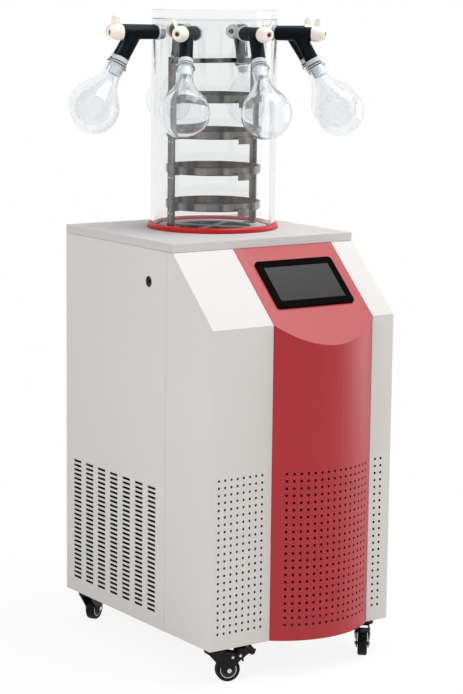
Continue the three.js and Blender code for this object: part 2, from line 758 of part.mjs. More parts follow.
// Appliance inlet with three pins and the opening of the power rocker, in one housing
function buildMainsInlet() {
  const [x, z] = inletCentre;
  const face = CABINET_DEPTH + GAP;
  const [rockerWidth, , rockerHeight] = ROCKER_SIZE;
  const flange = box(
    [x - INLET_WIDTH / 2 - 4, face, z - INLET_HEIGHT / 2 - 4],
    [x + INLET_WIDTH / 2 + 4, face + 2.5, z + INLET_HEIGHT / 2 + 4],
  );
  const body = box(
    [x - INLET_WIDTH / 2 + GAP, face - INLET_DEPTH, z - INLET_HEIGHT / 2 + GAP],
    [x + INLET_WIDTH / 2 - GAP, face + 1, z + INLET_HEIGHT / 2 - GAP],
  );
  const socket = shifted(
    pushedAlongY(
      polygon([
        [-12.5, -8.5],
        [12.5, -8.5],
        [12.5, 3.5],
        [7.5, 8.5],
        [-7.5, 8.5],
        [-12.5, 3.5],
      ]),
      face - 18,
      face + 3,
    ),
    x - 11,
    0,
    z,
  );
  const pins = [-7, 0, 7].map((dx) =>
    box([x - 12 + dx, face - 19, z - 2 + (dx ? 0 : 3)], [x - 10 + dx, face - 3, z + 2 + (dx ? 0 : 3)]),
  );
  const well = box(
    [x + 16 - rockerWidth / 2 - GAP, face - 14, z - rockerHeight / 2 - 3],
    [x + 16 + rockerWidth / 2 + GAP, face + 3, z + rockerHeight / 2 + 3],
  );
  const inlet = joined(cut(joined(flange, body), socket, well), ...pins);
  piece("mains_inlet", inlet, blackPlastic, cabinet);
}

// Rocker with a shallow V face, tilted to its off side
function buildRocker() {
  const [width, thickness, height] = ROCKER_SIZE;
  const shape = polygon([
    [-thickness / 2, -height / 2],
    [thickness / 2 + 2, -height / 2],
    [thickness / 2, 0],
    [thickness / 2 + 2, height / 2],
    [-thickness / 2, height / 2],
  ]);
  const rocker = piece("rocker_switch", pushedAlongX(shape, -width / 2, width / 2), blackPlastic, cabinet);
  rocker.position.set(inletCentre[0] + 16, CABINET_DEPTH - 2, inletCentre[1]);
  rocker.rotation.x = degrees(ROCKER_TILT);
}

// ---- Cold trap, seal and chamber ----------------------------------------------------------------

// Deep drawn pot that hangs by its flange from the top plate
function buildColdTrap() {
  const r = trapRadius;
  const bottom = -TRAP_DEPTH;
  const pot = turned(
    [
      [0, bottom],
      [r - 12, bottom],
      [r, bottom + 12],
      [r, GAP],
      [trapFlangeRadius, GAP],
      [trapFlangeRadius, GAP + TRAP_WALL],
      [r - TRAP_WALL, GAP + TRAP_WALL],
      [r - TRAP_WALL, bottom + 13],
      [r - 13, bottom + TRAP_WALL],
      [0, bottom + TRAP_WALL],
    ],
    ROUND_STEPS,
  );
  piece("cold_trap", pot, brushedSteel, chamber);
}

class Helix extends THREE.Curve {
  getPoint(t) {
    const angle = t * COIL_TURNS * 2 * Math.PI;
    const radius = (trapRadius + COIL_TUBE + GAP) / Math.cos(Math.PI / COIL_STEPS);
    const height = -50 - t * COIL_TURNS * COIL_PITCH;
    return new THREE.Vector3(radius * Math.cos(angle), radius * Math.sin(angle), height);
  }
}

function buildEvaporator() {
  const tube = new THREE.Shape().absarc(0, 0, COIL_TUBE, 0, 2 * Math.PI, false);
  const geometry = new THREE.ExtrudeGeometry(tube, {
    steps: COIL_TURNS * COIL_STEPS,
    curveSegments: 3,
    extrudePath: new Helix(),
  });
  piece("evaporator_coil", solid(geometry), copper, chamber);
}

// Perforated baffle over the trap: four rounded openings between two crossing spokes
const baffleLow = 2 * GAP + TRAP_WALL;
const baffleTop = baffleLow + BAFFLE_THICKNESS;

function buildBaffle() {
  const disc = drum(baffleRadius, baffleLow, baffleTop, ROUND_STEPS);
  const offset = BAFFLE_SPOKE / 2;
  const opening = (index) => {
    const shape = new THREE.Shape();
    const start = Math.asin(offset / baffleOpening);
    shape.moveTo(offset, offset);
    shape.lineTo(Math.sqrt(baffleOpening ** 2 - offset ** 2), offset);
    shape.absarc(0, 0, baffleOpening, start, Math.PI / 2 - start, false);
    shape.lineTo(offset, offset);
    return turnedAboutZ(raised(shape, baffleLow - 1, baffleTop + 1, 8), 45 + 90 * index + BAFFLE_TURN);
  };
  piece("trap_baffle", cut(disc, ...[0, 1, 2, 3].map(opening)), brushedSteel, chamber);
}

// Moulded seal that the chamber's lower edge sits in
function buildSealRing() {
  const outer = CHAMBER_RADIUS + 2 * GAP;
  const inner = CHAMBER_RADIUS - CHAMBER_WALL - 2 * GAP;
  const profile = [
    [ringInnerRadius, GAP],
    [ringRadius - 1.5, GAP],
    [ringRadius, GAP + 2],
    [ringRadius, RING_HEIGHT - 3],
    [ringRadius - 2.5, RING_HEIGHT],
    [outer + 1.5, RING_HEIGHT],
    [outer, RING_HEIGHT - 2],
    [outer, RING_SOLE],
    [inner, RING_SOLE],
    [inner, RING_HEIGHT - 2],
    [inner - 2, RING_HEIGHT],
    [ringInnerRadius, RING_HEIGHT - 3],
    [ringInnerRadius, GAP],
  ];
  piece("seal_ring", turned(profile, ROUND_STEPS), redSilicone, chamber);
}

const portAngle = (index) => 180 + PORT_TURN + (360 / PORT_COUNT) * index;
const stubEnd = CHAMBER_RADIUS + COLLAR_LENGTH + STUB_LENGTH;
const valveStart = CHAMBER_RADIUS + COLLAR_LENGTH + GAP;

// Clear tube with its glued port fittings: a nut inside, a collar and a bored stub outside
function buildChamber() {
  const inner = CHAMBER_RADIUS - CHAMBER_WALL;
  const low = RING_SOLE + GAP;
  const tube = turned(
    [
      [inner, low],
      [CHAMBER_RADIUS, low],
      [CHAMBER_RADIUS, CHAMBER_TOP],
      [inner, CHAMBER_TOP],
      [inner, low],
    ],
    ROUND_STEPS,
  );
  const fitting = turnedAlongX(
    [
      [0, inner - NUT_LENGTH],
      [NUT_RADIUS, inner - NUT_LENGTH],
      [NUT_RADIUS, CHAMBER_RADIUS - 1],
      [COLLAR_RADIUS, CHAMBER_RADIUS - 1],
      [COLLAR_RADIUS, CHAMBER_RADIUS + COLLAR_LENGTH],
      [STUB_RADIUS, CHAMBER_RADIUS + COLLAR_LENGTH],
      [STUB_RADIUS, stubEnd],
      [0, stubEnd],
    ],
    FITTING_STEPS,
  );
  const bore = drumAlongX(PORT_BORE, inner - NUT_LENGTH - 1, stubEnd + 1, FITTING_STEPS);
  const ports = Array.from({ length: PORT_COUNT }, (_, i) => portAngle(i));
  const place = (shape, angle) => turnedAboutZ(shifted(shape, 0, 0, PORT_HEIGHT), angle);
  const withPorts = joined(tube, ...ports.map((angle) => place(fitting, angle)));
  const body = cut(withPorts, ...ports.map((angle) => place(bore, angle)));
  piece("drying_chamber", body, clearAcrylic, chamber);
}

// Thick clear disc with a spigot that centres it in the tube
function buildLid() {
  const spigot = CHAMBER_RADIUS - CHAMBER_WALL - GAP * 2;
  const low = CHAMBER_TOP + GAP;
  const profile = [
    [0, low - LID_SPIGOT],
    [spigot, low - LID_SPIGOT],
    [spigot, low],
    [CHAMBER_RADIUS, low],
    [CHAMBER_RADIUS, low + LID_THICKNESS - 1],
    [CHAMBER_RADIUS - 1, low + LID_THICKNESS],
    [0, low + LID_THICKNESS],
  ];
  piece("chamber_lid", turned(profile, ROUND_STEPS), clearAcrylic, chamber);
}

// ---- Tray rack and trays ------------------------------------------------------------------------

const trayBottom = (index) => FIRST_TRAY + index * TRAY_PITCH;
const rackHeight = trayBottom(TRAY_COUNT - 1) + TRAY_HEIGHT + RACK_RISE;

// Two posts joined by a bar on edge, each with a foot, screw heads and a bent ledge under each tray
function buildRack() {
  const inner = trayRadius + POST_CLEARANCE;
  const outer = inner + POST_SHEET;
  const low = baffleTop + GAP;
  const half = POST_WIDTH / 2;
  const side = (sign) => {
    const across = (x0, x1, y, z0, z1) =>
      box([Math.min(sign * x0, sign * x1), -y, z0], [Math.max(sign * x0, sign * x1), y, z1]);
    const post = across(inner, outer, half, low, rackHeight);
    const foot = across(inner - 12, inner + 1, half, low, low + POST_SHEET);
    const ledges = Array.from({ length: TRAY_COUNT }, (_, i) => {
      const seat = trayBottom(i) - GAP;
      const shelf = across(inner - LEDGE_REACH, inner + 1, half - 3, seat - 2, seat);
      const leaf = across(inner - 2, inner + 1, half - 3, seat - LEDGE_DROP - 4, seat);
      return joined(shelf, leaf);
    });
    const bolt = drumAlongX(5, inner + 1, outer + 3.5, 6);
    const head = shifted(bolt, 0, 0, rackHeight - 8);
    const boltSide = sign < 0 ? turnedAboutZ(head, 180) : head;
    return joined(post, foot, boltSide, ...ledges);
  };
  const bar = box([-inner - 1, -1.5, rackHeight - 13], [inner + 1, 1.5, rackHeight - 3]);
  piece("tray_rack", joined(side(-1), side(1), bar), brushedSteel, chamber);
}

// Shallow pan with a bent grip at the front
function buildTrays() {
  for (let index = 0; index < TRAY_COUNT; index += 1) {
    const low = trayBottom(index);
    const r = trayRadius;
    const pan = turned(
      [
        [0, low],
        [r - 2, low],
        [r, low + 2],
        [r, low + TRAY_HEIGHT],
        [r - TRAY_SHEET, low + TRAY_HEIGHT],
        [r - TRAY_SHEET, low + 2.4],
        [r - 2.4, low + TRAY_SHEET],
        [0, low + TRAY_SHEET],
      ],
      28,
    );
    const top = low + TRAY_HEIGHT - GRIP.below;
    const half = GRIP.width / 2;
    const wall = Math.sqrt((r - TRAY_SHEET) ** 2 - half ** 2);
    const shelf = box([-half, -r - GRIP.stand, top - TRAY_SHEET], [half, -wall, top]);
    const leaf = box(
      [-half, -r - GRIP.stand, top - GRIP.drop],
      [half, -r - GRIP.stand + TRAY_SHEET, top],
    );
    const inside = drum(r - TRAY_SHEET - 0.02, low + TRAY_SHEET, top + 1, 28);
    piece(`tray_${index + 1}`, joined(pan, cut(joined(shelf, leaf), inside)), brushedSteel, chamber);
  }
}

// ---- Flask valves and flasks --------------------------------------------------------------------

const valveEnd = valveStart + VALVE_LENGTH;
const coneRadius = 10.5;

// Turns a form about +Z into one that runs down a valve's leg
function alongLeg(group) {
  group.position.x = valveStart + LEG_START;
  group.rotation.y = Math.PI - degrees(LEG_LEAN);
  group.updateMatrix();
  return group;
}

// Rubber body with a leaning leg, and the ribbed joint pushed into the leg's end
function valveBodyShape() {
  const barrel = turnedAlongX(
    [
      [0, valveStart],
      [VALVE_RADIUS - 1.5, valveStart],
      [VALVE_RADIUS, valveStart + 2],
      [VALVE_RADIUS, valveEnd],
      [0, valveEnd],
    ],
    VALVE_STEPS,
  );
  const stubBoreRadius = boreAround(STUB_RADIUS, VALVE_STEPS);
  const spindleBoreRadius = boreAround(SPINDLE_RADIUS, VALVE_STEPS);
  const stubBore = drumAlongX(stubBoreRadius, valveStart - 1, stubEnd + 2, VALVE_STEPS);
  const spindleBore = drumAlongX(spindleBoreRadius, valveEnd - 28, valveEnd + 1, VALVE_STEPS);
  const leg = alongLeg(new THREE.Group());
  const [end, rib] = [LEG_LENGTH, LEG_LENGTH + ADAPTER_LENGTH];
  const limb = drum(VALVE_RADIUS, 0, end, VALVE_STEPS);
  const joint = turned(
    [
      [PORT_BORE, end - 22],
      [VALVE_RADIUS - 3, end - 22],
      [VALVE_RADIUS - 3, end - 1],
      [ADAPTER_RADIUS, end - 1 + GAP],
      [ADAPTER_RADIUS, rib - 6],
      [ADAPTER_RADIUS + 2.5, rib - 3],
      [ADAPTER_RADIUS + 2.5, rib],
      [coneRadius, rib],
      [coneRadius - 1, rib + CONE_LENGTH],
      [PORT_BORE, rib + CONE_LENGTH],
      [PORT_BORE, end - 22],
    ],
    VALVE_STEPS,
  );
  const passage = drum(PORT_BORE, end - 22, rib + CONE_LENGTH + 1, VALVE_STEPS);
  const legs = moved(cut(joined(limb, joint), passage), leg.matrix);
  return cut(joined(barrel, legs), stubBore, spindleBore);
}

// Cap with a rounded shoulder and an air hole, a spindle in the body and a flat wing
function knobShape() {
  const cap = valveEnd + GAP;
  const end = cap + KNOB_LENGTH;
  const turnedPart = turnedAlongX(
    [
      [0, valveEnd - 26],
      [SPINDLE_RADIUS, valveEnd - 26],
      [SPINDLE_RADIUS, cap],
      [KNOB_RADIUS, cap],
      [KNOB_RADIUS, cap + 8],
      [KNOB_RADIUS * 0.93, cap + 16],
      [KNOB_RADIUS * 0.76, cap + 23],
      [KNOB_RADIUS * 0.56, end],
      [KNOB_RADIUS * 0.3, end],
      [KNOB_RADIUS * 0.3, end - 14],
      [0, end - 14],
    ],
    VALVE_STEPS,
  );
  const wing = pushedAlongY(
    polygon([
      [cap + 2, 0],
      [cap + 19, 0],
      [cap + 16, WING_REACH - 3],
      [cap + 13, WING_REACH],
      [cap + 8, WING_REACH],
      [cap + 4, WING_REACH - 4],
    ]),
    -2,
    2,
  );
  const hole = drumAlongX(KNOB_RADIUS * 0.3, end - 14, end + 1, VALVE_STEPS);
  return cut(joined(turnedPart, wing), hole);
}

// Pear shaped flask with a beaded neck; heights run from the bead towards the base
function flaskShape() {
  const ballCentre = FLASK_LENGTH - FLASK_RADIUS;
  // The neck, the flank and the ball, all moved in by a depth
  const flank = (inset, angles) => {
    const radius = FLASK_RADIUS - inset;
    const neck = FLASK_NECK_RADIUS - inset;
    const ball = angles.map((angle) => [
      radius * Math.cos(degrees(angle)),
      ballCentre + radius * Math.sin(degrees(angle)),
    ]);
    const [meetRadius, meetHeight] = ball[0];
    const shoulder = [
      neck + (meetRadius - neck) * 0.13,
      FLASK_NECK_LENGTH + (meetHeight - FLASK_NECK_LENGTH) * 0.3,
    ];
    return [[neck, FLASK_NECK_LENGTH], shoulder, ...ball, [0, ballCentre + radius]];
  };
  const mouth = FLASK_NECK_RADIUS - FLASK_WALL;
  return turned(
    [
      [mouth, 0],
      [FLASK_BEAD_RADIUS, 0],
      [FLASK_BEAD_RADIUS, 5],
      [FLASK_NECK_RADIUS, 7],
      ...flank(0, [-38, -12, 14, 40, 64]),
      ...flank(FLASK_WALL, [-38, 0, 45]).reverse(),
      [mouth, 0],
    ],
    FLASK_STEPS,
  );
}

function buildValves() {
  const body = geometryOf(valveBodyShape());
  const knob = geometryOf(knobShape());
  const flask = geometryOf(flaskShape());
  const add = (name, geometry, look, parent) => {
    const mesh = new THREE.Mesh(geometry, look);
    mesh.name = name;
    parent.add(mesh);
    return mesh;
  };
  for (let index = 0; index < PORT_COUNT; index += 1) {
    const spot = new THREE.Group();
    spot.position.z = PORT_HEIGHT;
    spot.rotation.z = degrees(portAngle(index));
    chamber.add(spot);
    const hang = new THREE.Group();
    hang.rotation.x = degrees(VALVE_ROLLS[index % VALVE_ROLLS.length]);
    spot.add(hang);
    const number = index + 1;
    add(`valve_body_${number}`, body, blackRubber, hang);
    const turn = degrees(KNOB_TURNS[index % KNOB_TURNS.length]);
    add(`valve_knob_${number}`, knob, creamPlastic, spot).rotation.x = turn;
    const leg = alongLeg(new THREE.Group());
    hang.add(leg);
    add(`flask_${number}`, flask, clearGlass, leg).position.z = LEG_LENGTH + ADAPTER_LENGTH + GAP;
  }
}

// ---- Casters ------------------------------------------------------------------------------------

const brakePivot = [TRAIL + BRAKE_PIVOT[0], 2 * WHEEL_RADIUS + BRAKE_PIVOT[1]];

// Drawn with the swivel axis on Z and the trail along +X, standing on the floor
function forkShape() {
  const top = casterHeight - CASTER_PLATE_THICKNESS - GAP;
  const [crown, head] = [top - 9, top - 4];
  const cheekInside = WHEEL_WIDTH / 2 + 1;
  const cheek = new THREE.Shape();
  cheek.moveTo(-SWIVEL_RADIUS + 4, crown);
  cheek.lineTo(TRAIL - 8, WHEEL_RADIUS - 4);
  cheek.absarc(TRAIL, WHEEL_RADIUS, 9, degrees(-150), degrees(20), false);
  cheek.lineTo(brakePivot[0] + 5, brakePivot[1] - 6);
  cheek.lineTo(brakePivot[0] + 6, brakePivot[1] + 1);
  cheek.lineTo(SWIVEL_RADIUS, crown);
  const cheeks = [-1, 1].map((side) => {
    const inner = side * cheekInside;
    const outer = side * (cheekInside + CHEEK_THICKNESS);
    return pushedAlongY(cheek, Math.min(inner, outer), Math.max(inner, outer), 3);
  });
  const reach = cheekInside + CHEEK_THICKNESS;
  const bridge = box([-SWIVEL_RADIUS + 4, -reach, crown - 2.5], [SWIVEL_RADIUS - 3, reach, crown]);
  const race = drum(SWIVEL_RADIUS, crown - 1, head, 14);
  const neck = drum(9, head - 1, top, 10);
  const axle = drumAlongY(AXLE_RADIUS, -reach - 2, reach + 2, 8);
  return joined(...cheeks, bridge, race, neck, shifted(axle, TRAIL, 0, WHEEL_RADIUS));
}

function wheelShape() {
  const half = WHEEL_WIDTH / 2;
  const steps = 14;
  const axleBore = boreAround(AXLE_RADIUS, steps);
  const profile = [
    [axleBore, -half],
    [10, -half],
    [11, -half + 3],
    [18, -half + 3],
    [19, -half],
    [WHEEL_RADIUS - 3, -half],
    [WHEEL_RADIUS, -half + 3],
    [WHEEL_RADIUS, half - 3],
    [WHEEL_RADIUS - 3, half],
    [19, half],
    [18, half - 3],
    [11, half - 3],
    [10, half],
    [axleBore, half],
    [axleBore, -half],
  ];
  return turnedAlongY(profile, steps);
}

// Foot lever on the fork's tail: a web between the cheeks that widens to the pad
function brakeShape() {
  const [px, pz] = brakePivot;
  const end = px + BRAKE_REACH;
  const inside = WHEEL_WIDTH / 2 + 1 - GAP;
  const web = polygon([
    [px - 6, pz - 4],
    [px + 4, pz - 6],
    [px + 16, pz + 3],
    [px + 24, pz + 2],
    [px + 22, pz + 11],
    [px + 14, pz + 14],
    [px + 4, pz + 13],
    [px - 5, pz + 8],
  ]);
  const pad = polygon([
    [px + 13, pz + 3],
    [end - 6, pz],
    [end - 1, pz + 4],
    [end, pz + 12],
    [end - 4, pz + 12],
    [end - 8, pz + 9],
    [px + 16, pz + 14],
  ]);
  const half = BRAKE_PAD_WIDTH / 2;
  return joined(pushedAlongY(web, -inside, inside), pushedAlongY(pad, -half, half));
}

function buildCasters() {
  for (const [corner, [x, y]] of Object.entries(casterSpots)) {
    const swivel = new THREE.Group();
    swivel.position.set(x, y, 0);
    swivel.rotation.z = degrees(CASTER_HEADINGS[corner]);
    root.add(swivel);
    piece(`caster_fork_${corner}`, forkShape(), blackPaint, swivel);
    const wheel = piece(`caster_wheel_${corner}`, wheelShape(), blackRubber, swivel);
    wheel.position.set(TRAIL, 0, WHEEL_RADIUS);
    if (corner.startsWith("front")) {
      piece(`caster_brake_${corner}`, brakeShape(), blackPlastic, swivel);
    }
  }
}

// ---- Assembly -----------------------------------------------------------------------------------

buildBaseFrame();
buildSidePanels();
buildRearPanel();
buildFrontCover();
buildRedPanel();
buildTouchScreen();
buildTopPlate();
buildVacuumPort();
buildCompressor();
buildCondenser();
buildControlModule();
buildMainsInlet();
buildRocker();
buildColdTrap();
buildEvaporator();
buildBaffle();
buildSealRing();
buildChamber();
buildLid();
buildRack();
buildTrays();
buildValves();
buildCasters();

const bounds = new THREE.Box3().setFromObject(root, true);
const middle = bounds.getCenter(new THREE.Vector3());
root.position.set(-middle.x, -middle.y, -bounds.min.z);
const part = new THREE.Group();
part.add(root);

export default part;
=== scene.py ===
# Vertical laboratory freeze dryer: the visible surfaces and finishes of the machine, built around
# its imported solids. Lengths are written in millimetres and become metres where a mesh is made.
import math

import bmesh
import bpy
from mathutils import Matrix, Vector


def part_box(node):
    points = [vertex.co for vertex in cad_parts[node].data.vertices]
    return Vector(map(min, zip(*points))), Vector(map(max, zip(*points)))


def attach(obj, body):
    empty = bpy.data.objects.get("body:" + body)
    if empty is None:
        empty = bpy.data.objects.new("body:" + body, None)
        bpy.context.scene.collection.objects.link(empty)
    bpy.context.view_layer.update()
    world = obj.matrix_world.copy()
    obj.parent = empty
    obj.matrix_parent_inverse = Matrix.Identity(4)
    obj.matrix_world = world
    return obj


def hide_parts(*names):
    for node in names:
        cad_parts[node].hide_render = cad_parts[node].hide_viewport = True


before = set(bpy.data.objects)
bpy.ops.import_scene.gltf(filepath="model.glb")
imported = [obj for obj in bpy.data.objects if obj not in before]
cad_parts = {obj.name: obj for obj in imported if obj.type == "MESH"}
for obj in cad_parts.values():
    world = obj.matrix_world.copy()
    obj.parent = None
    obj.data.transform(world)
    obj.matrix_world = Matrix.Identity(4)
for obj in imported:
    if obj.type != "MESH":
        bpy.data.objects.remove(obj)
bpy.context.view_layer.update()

MM = 0.001


# ---- Room: camera, lamps, world and floor -------------------------------------------------------
# A white product room: a pale painted floor, a broad soft box overhead that gives the sloping front
# its sheen, and weaker ones to the sides. Nothing here belongs to the machine.
cover_low, cover_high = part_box("front_cover")
cabinet_foot = Vector(((cover_low.x + cover_high.x) / 2, cover_low.y, cover_low.z))

CAMERA_PLACE = Vector((-2543.926, -3409.447, 1309.864))  # from the foot of the cabinet's front
CAMERA_TURN, CAMERA_RISE, CAMERA_ROLL = (math.radians(a) for a in (-34.722, 9.506, 0.651))
camera_back = Vector(
    (
        math.sin(CAMERA_TURN) * math.cos(CAMERA_RISE),
        -math.cos(CAMERA_TURN) * math.cos(CAMERA_RISE),
        math.sin(CAMERA_RISE),
    )
)
level_right = Vector((math.cos(CAMERA_TURN), math.sin(CAMERA_TURN), 0))
level_up = camera_back.cross(level_right)
camera_right = math.cos(CAMERA_ROLL) * level_right + math.sin(CAMERA_ROLL) * level_up
camera_up = camera_back.cross(camera_right)
camera = bpy.data.objects.new("camera", bpy.data.cameras.new("camera"))
camera.data.sensor_width = 36
camera.data.lens = 111.25
camera.data.clip_end = 100
camera.matrix_world = Matrix.Translation(cabinet_foot + CAMERA_PLACE * MM) @ Matrix(
    (camera_right, camera_up, camera_back)
).transposed().to_4x4()
bpy.context.scene.collection.objects.link(camera)
bpy.context.scene.camera = camera
bpy.context.scene.view_settings.view_transform = "Standard"


def soft_box(name, place, target, size, power):
    lamp = bpy.data.lights.new(name, "AREA")
    lamp.shape = "RECTANGLE"
    lamp.size, lamp.size_y = size
    lamp.energy = power
    box = bpy.data.objects.new(name, lamp)
    box.location = place
    box.rotation_mode = "QUATERNION"
    box.rotation_quaternion = (Vector(target) - Vector(place)).to_track_quat("-Z", "Y")
    box.visible_transmission = False  # or it would blot out the glass in front of it
    bpy.context.scene.collection.objects.link(box)
    return box


soft_box("overhead_box", (1.3, -1.15, 4.7), (0, -0.2, 0.8), (3.0, 3.0), 162)
left_box = soft_box("left_box", (-3.2, -1.2, 1.6), (0, 0, 0.6), (1.4, 2.2), 47)
left_box.visible_glossy = False  # flagged off the clear tube, which would mirror it as a white stripe
soft_box("right_box", (2.9, -1.05, 1.1), (0, 0, 0.5), (2.4, 2.4), 42)


def linear(hexadecimal):
    """An sRGB colour such as #a8222a as the linear values that shaders work in"""
    shares = [int(hexadecimal[i : i + 2], 16) / 255 for i in (1, 3, 5)]
    return [c / 12.92 if c <= 0.04045 else ((c + 0.055) / 1.055) ** 2.4 for c in shares] + [1]


def new_tree(name):
    material = bpy.data.materials.new(name)
    material.use_nodes = True
    material.node_tree.nodes.clear()
    return material, material.node_tree


def add(tree, kind, inputs=None, **settings):
    """Adds one shader node. An input given as a socket or as a node, meaning its first output, is
    linked. Any other is set, a colour as its hexadecimal"""
    node = tree.nodes.new("ShaderNode" + kind)
    for name, value in settings.items():
        setattr(node, name, value)
    for name, value in (inputs or {}).items():
        if isinstance(value, bpy.types.Node):
            value = value.outputs[0]
        if isinstance(value, bpy.types.NodeSocket):
            tree.links.new(value, node.inputs[name])
        else:
            node.inputs[name].default_value = linear(value) if isinstance(value, str) else value
    return node


def seen_directly(tree):
    """1 for rays from the camera, off a mirror or through glass, 0 for the light of the scene"""
    ray = add(tree, "LightPath").outputs
    direct = add(tree, "Math", {0: ray["Is Camera Ray"], 1: ray["Is Glossy Ray"]}, operation="MAXIMUM")
    return add(tree, "Math", {0: direct, 1: ray["Is Transmission Ray"]}, operation="MAXIMUM")


world = bpy.data.worlds.new("white_room")
bpy.context.scene.world = world
world.use_nodes = True
world.node_tree.nodes.clear()
tree = world.node_tree
strength = add(tree, "MapRange", {"Value": seen_directly(tree), "To Min": 0.4, "To Max": 1.0})
room_light = add(tree, "Background", {"Color": "#ffffff", "Strength": strength})
add(tree, "OutputWorld", {"Surface": room_light})

# The floor's paint is matt and nearly white. Seen directly it is lifted towards the white of the room,
# wholly from a metre and a half out, and keeps a pale shadow round the casters.
floor_paint, tree = new_tree("matt_floor_paint")
ground_place = add(tree, "NewGeometry").outputs["Position"]
away = add(tree, "VectorMath", {0: ground_place}, operation="LENGTH")
fade = add(
    tree, "MapRange",
    {"Value": away.outputs["Value"], "From Min": 0.3, "From Max": 1.5, "To Min": 0.88},
    interpolation_type="SMOOTHSTEP",
)
grit = add(tree, "TexNoise", {"Vector": ground_place, "Scale": 1 / (4 * MM), "Detail": 3.0})
tone = add(tree, "MixRGB", {"Fac": grit, "Color1": "#f7f7f6", "Color2": "#fbfbfa"})
paint = add(tree, "BsdfDiffuse", {"Color": tone, "Roughness": 0.5})
white = add(tree, "Emission", {"Color": "#ffffff", "Strength": 1.0})
share = add(tree, "Math", {0: seen_directly(tree), 1: fade}, operation="MULTIPLY")
mixed = add(tree, "MixShader", {0: share, 1: paint, 2: white})
add(tree, "OutputMaterial", {"Surface": mixed})

ground = bpy.data.meshes.new("floor")
ground.from_pydata([(-30, -30, 0), (30, -30, 0), (30, 30, 0), (-30, 30, 0)], [], [(0, 1, 2, 3)])
ground.materials.append(floor_paint)
floor = bpy.data.objects.new("floor", ground)
bpy.context.scene.collection.objects.link(floor)


# ---- Base frame and casters' top plates ---------------------------------------------------------
# A folded pan with four corner posts and a ring that carries the top plate, welded up from plated
# sheet. Little of it shows: the posts behind the slots, and the casters' plates, coated black.
zinc_plate, tree = new_tree("zinc_plated_sheet")
# Spangled zinc on folded sheet: pale flakes about 8 mm across, each with its own grey.
place = add(tree, "TexCoord").outputs["Object"]
flake = add(tree, "TexVoronoi", {"Vector": place, "Scale": 1 / (8 * MM)})
shade = add(tree, "SeparateXYZ", {0: flake.outputs["Color"]})
tone = add(tree, "MixRGB", {"Fac": shade, "Color1": "#6d7072", "Color2": "#929495"})
skin = add(tree, "BsdfPrincipled", {"Base Color": tone, "Metallic": 0.9, "Roughness": 0.42})
add(tree, "OutputMaterial", {"Surface": skin})


def mottled(tree, size, detail, dark, light):
    """A noise with features of a size in mm through a piece, and the tone that follows it"""
    place = add(tree, "TexCoord").outputs["Object"]
    noise = add(tree, "TexNoise", {"Vector": place, "Scale": 1 / (size * MM), "Detail": detail})
    return noise, add(tree, "MixRGB", {"Fac": noise, "Color1": dark, "Color2": light})


black_coat, tree = new_tree("cathodic_coated_steel")
# A thin dipped coat: even, deep black, with faint ripples about 2 mm apart.
ripple, tone = mottled(tree, 2, 2.0, "#0a0a0b", "#131314")
sheen = add(tree, "MapRange", {"Value": ripple, "To Min": 0.34, "To Max": 0.46})
bump = add(tree, "Bump", {"Height": ripple, "Strength": 0.12, "Distance": 0.0003})
skin = add(
    tree, "BsdfPrincipled",
    {"Base Color": tone, "Roughness": sheen, "Specular IOR Level": 0.18, "Normal": bump},
)
add(tree, "OutputMaterial", {"Surface": skin})


def smoothed(mesh, angle=32):
    """Shades a mesh smooth apart from its edges sharper than the angle"""
    mesh.polygons.foreach_set("use_smooth", [True] * len(mesh.polygons))
    mesh.set_sharp_from_angle(angle=math.radians(angle))
    return mesh


def rounded_copy(node, radius, segments=2, angle=30):
    """Mesh of a CAD node with its sharp edges rounded, as folding, coating or moulding leaves them"""
    shape = bmesh.new()
    shape.from_mesh(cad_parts[node].data)
    bmesh.ops.remove_doubles(shape, verts=shape.verts, dist=2e-6)
    bmesh.ops.dissolve_limit(shape, angle_limit=math.radians(0.5), verts=shape.verts, edges=shape.edges)
    sharp = [e for e in shape.edges if len(e.link_faces) == 2 and e.calc_face_angle(0) > math.radians(angle)]
    bmesh.ops.bevel(
        shape, geom=sharp, offset=radius * MM, offset_type="OFFSET", segments=segments, profile=0.5,
        affect="EDGES", clamp_overlap=True,
    )
    mesh = bpy.data.meshes.new(node)
    shape.to_mesh(mesh)
    shape.free()
    return mesh


def show(name, mesh, finish, body, stands_for=None, at=None):
    """Puts a finished piece in its place on a moving or fixed body of the machine"""
    mesh.materials.clear()
    mesh.materials.append(finish)
    piece = bpy.data.objects.new(name, mesh)
    bpy.context.scene.collection.objects.link(piece)
    piece.matrix_world = at or Matrix.Identity(4)
    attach(piece, body)
    if stands_for:
        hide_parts(stands_for)
    piece.modifiers.new("even_shading", "WEIGHTED_NORMAL").keep_sharp = True
    return piece


plated = rounded_copy("base_frame", 0.5)
show("base_frame_weldment", smoothed(plated), zinc_plate, "cabinet", "base_frame")
plated.materials.append(black_coat)
for face in plated.polygons:
    face.material_index = 1 if face.center.z < cabinet_foot.z - 0.1 * MM else 0


# ---- White covers -------------------------------------------------------------------------------
# Folded steel sheets 1.5 mm thick: two sides, a rear, and a front in one piece with the slope's white
# strips. Powder coated in warm pale grey, which leaves a fine orange peel and soft rounded edges.


def powder(tree, drift, dark, light, sheens, relief):
    """Powder coat: orange peel about 2.5 mm across, with a slight drift of tone over a width in mm"""
    place = add(tree, "TexCoord").outputs["Object"]
    peel = add(tree, "TexNoise", {"Vector": place, "Scale": 1 / (2.5 * MM), "Detail": 2.0})
    tone = mottled(tree, drift, 2.0, dark, light)[1]
    sheen = add(tree, "MapRange", {"Value": peel, "To Min": sheens[0], "To Max": sheens[1]})
    bump = add(tree, "Bump", {"Height": peel, "Strength": relief, "Distance": 0.0002})
    skin = add(tree, "BsdfPrincipled", {"Base Color": tone, "Roughness": sheen, "Normal": bump})
    add(tree, "OutputMaterial", {"Surface": skin})


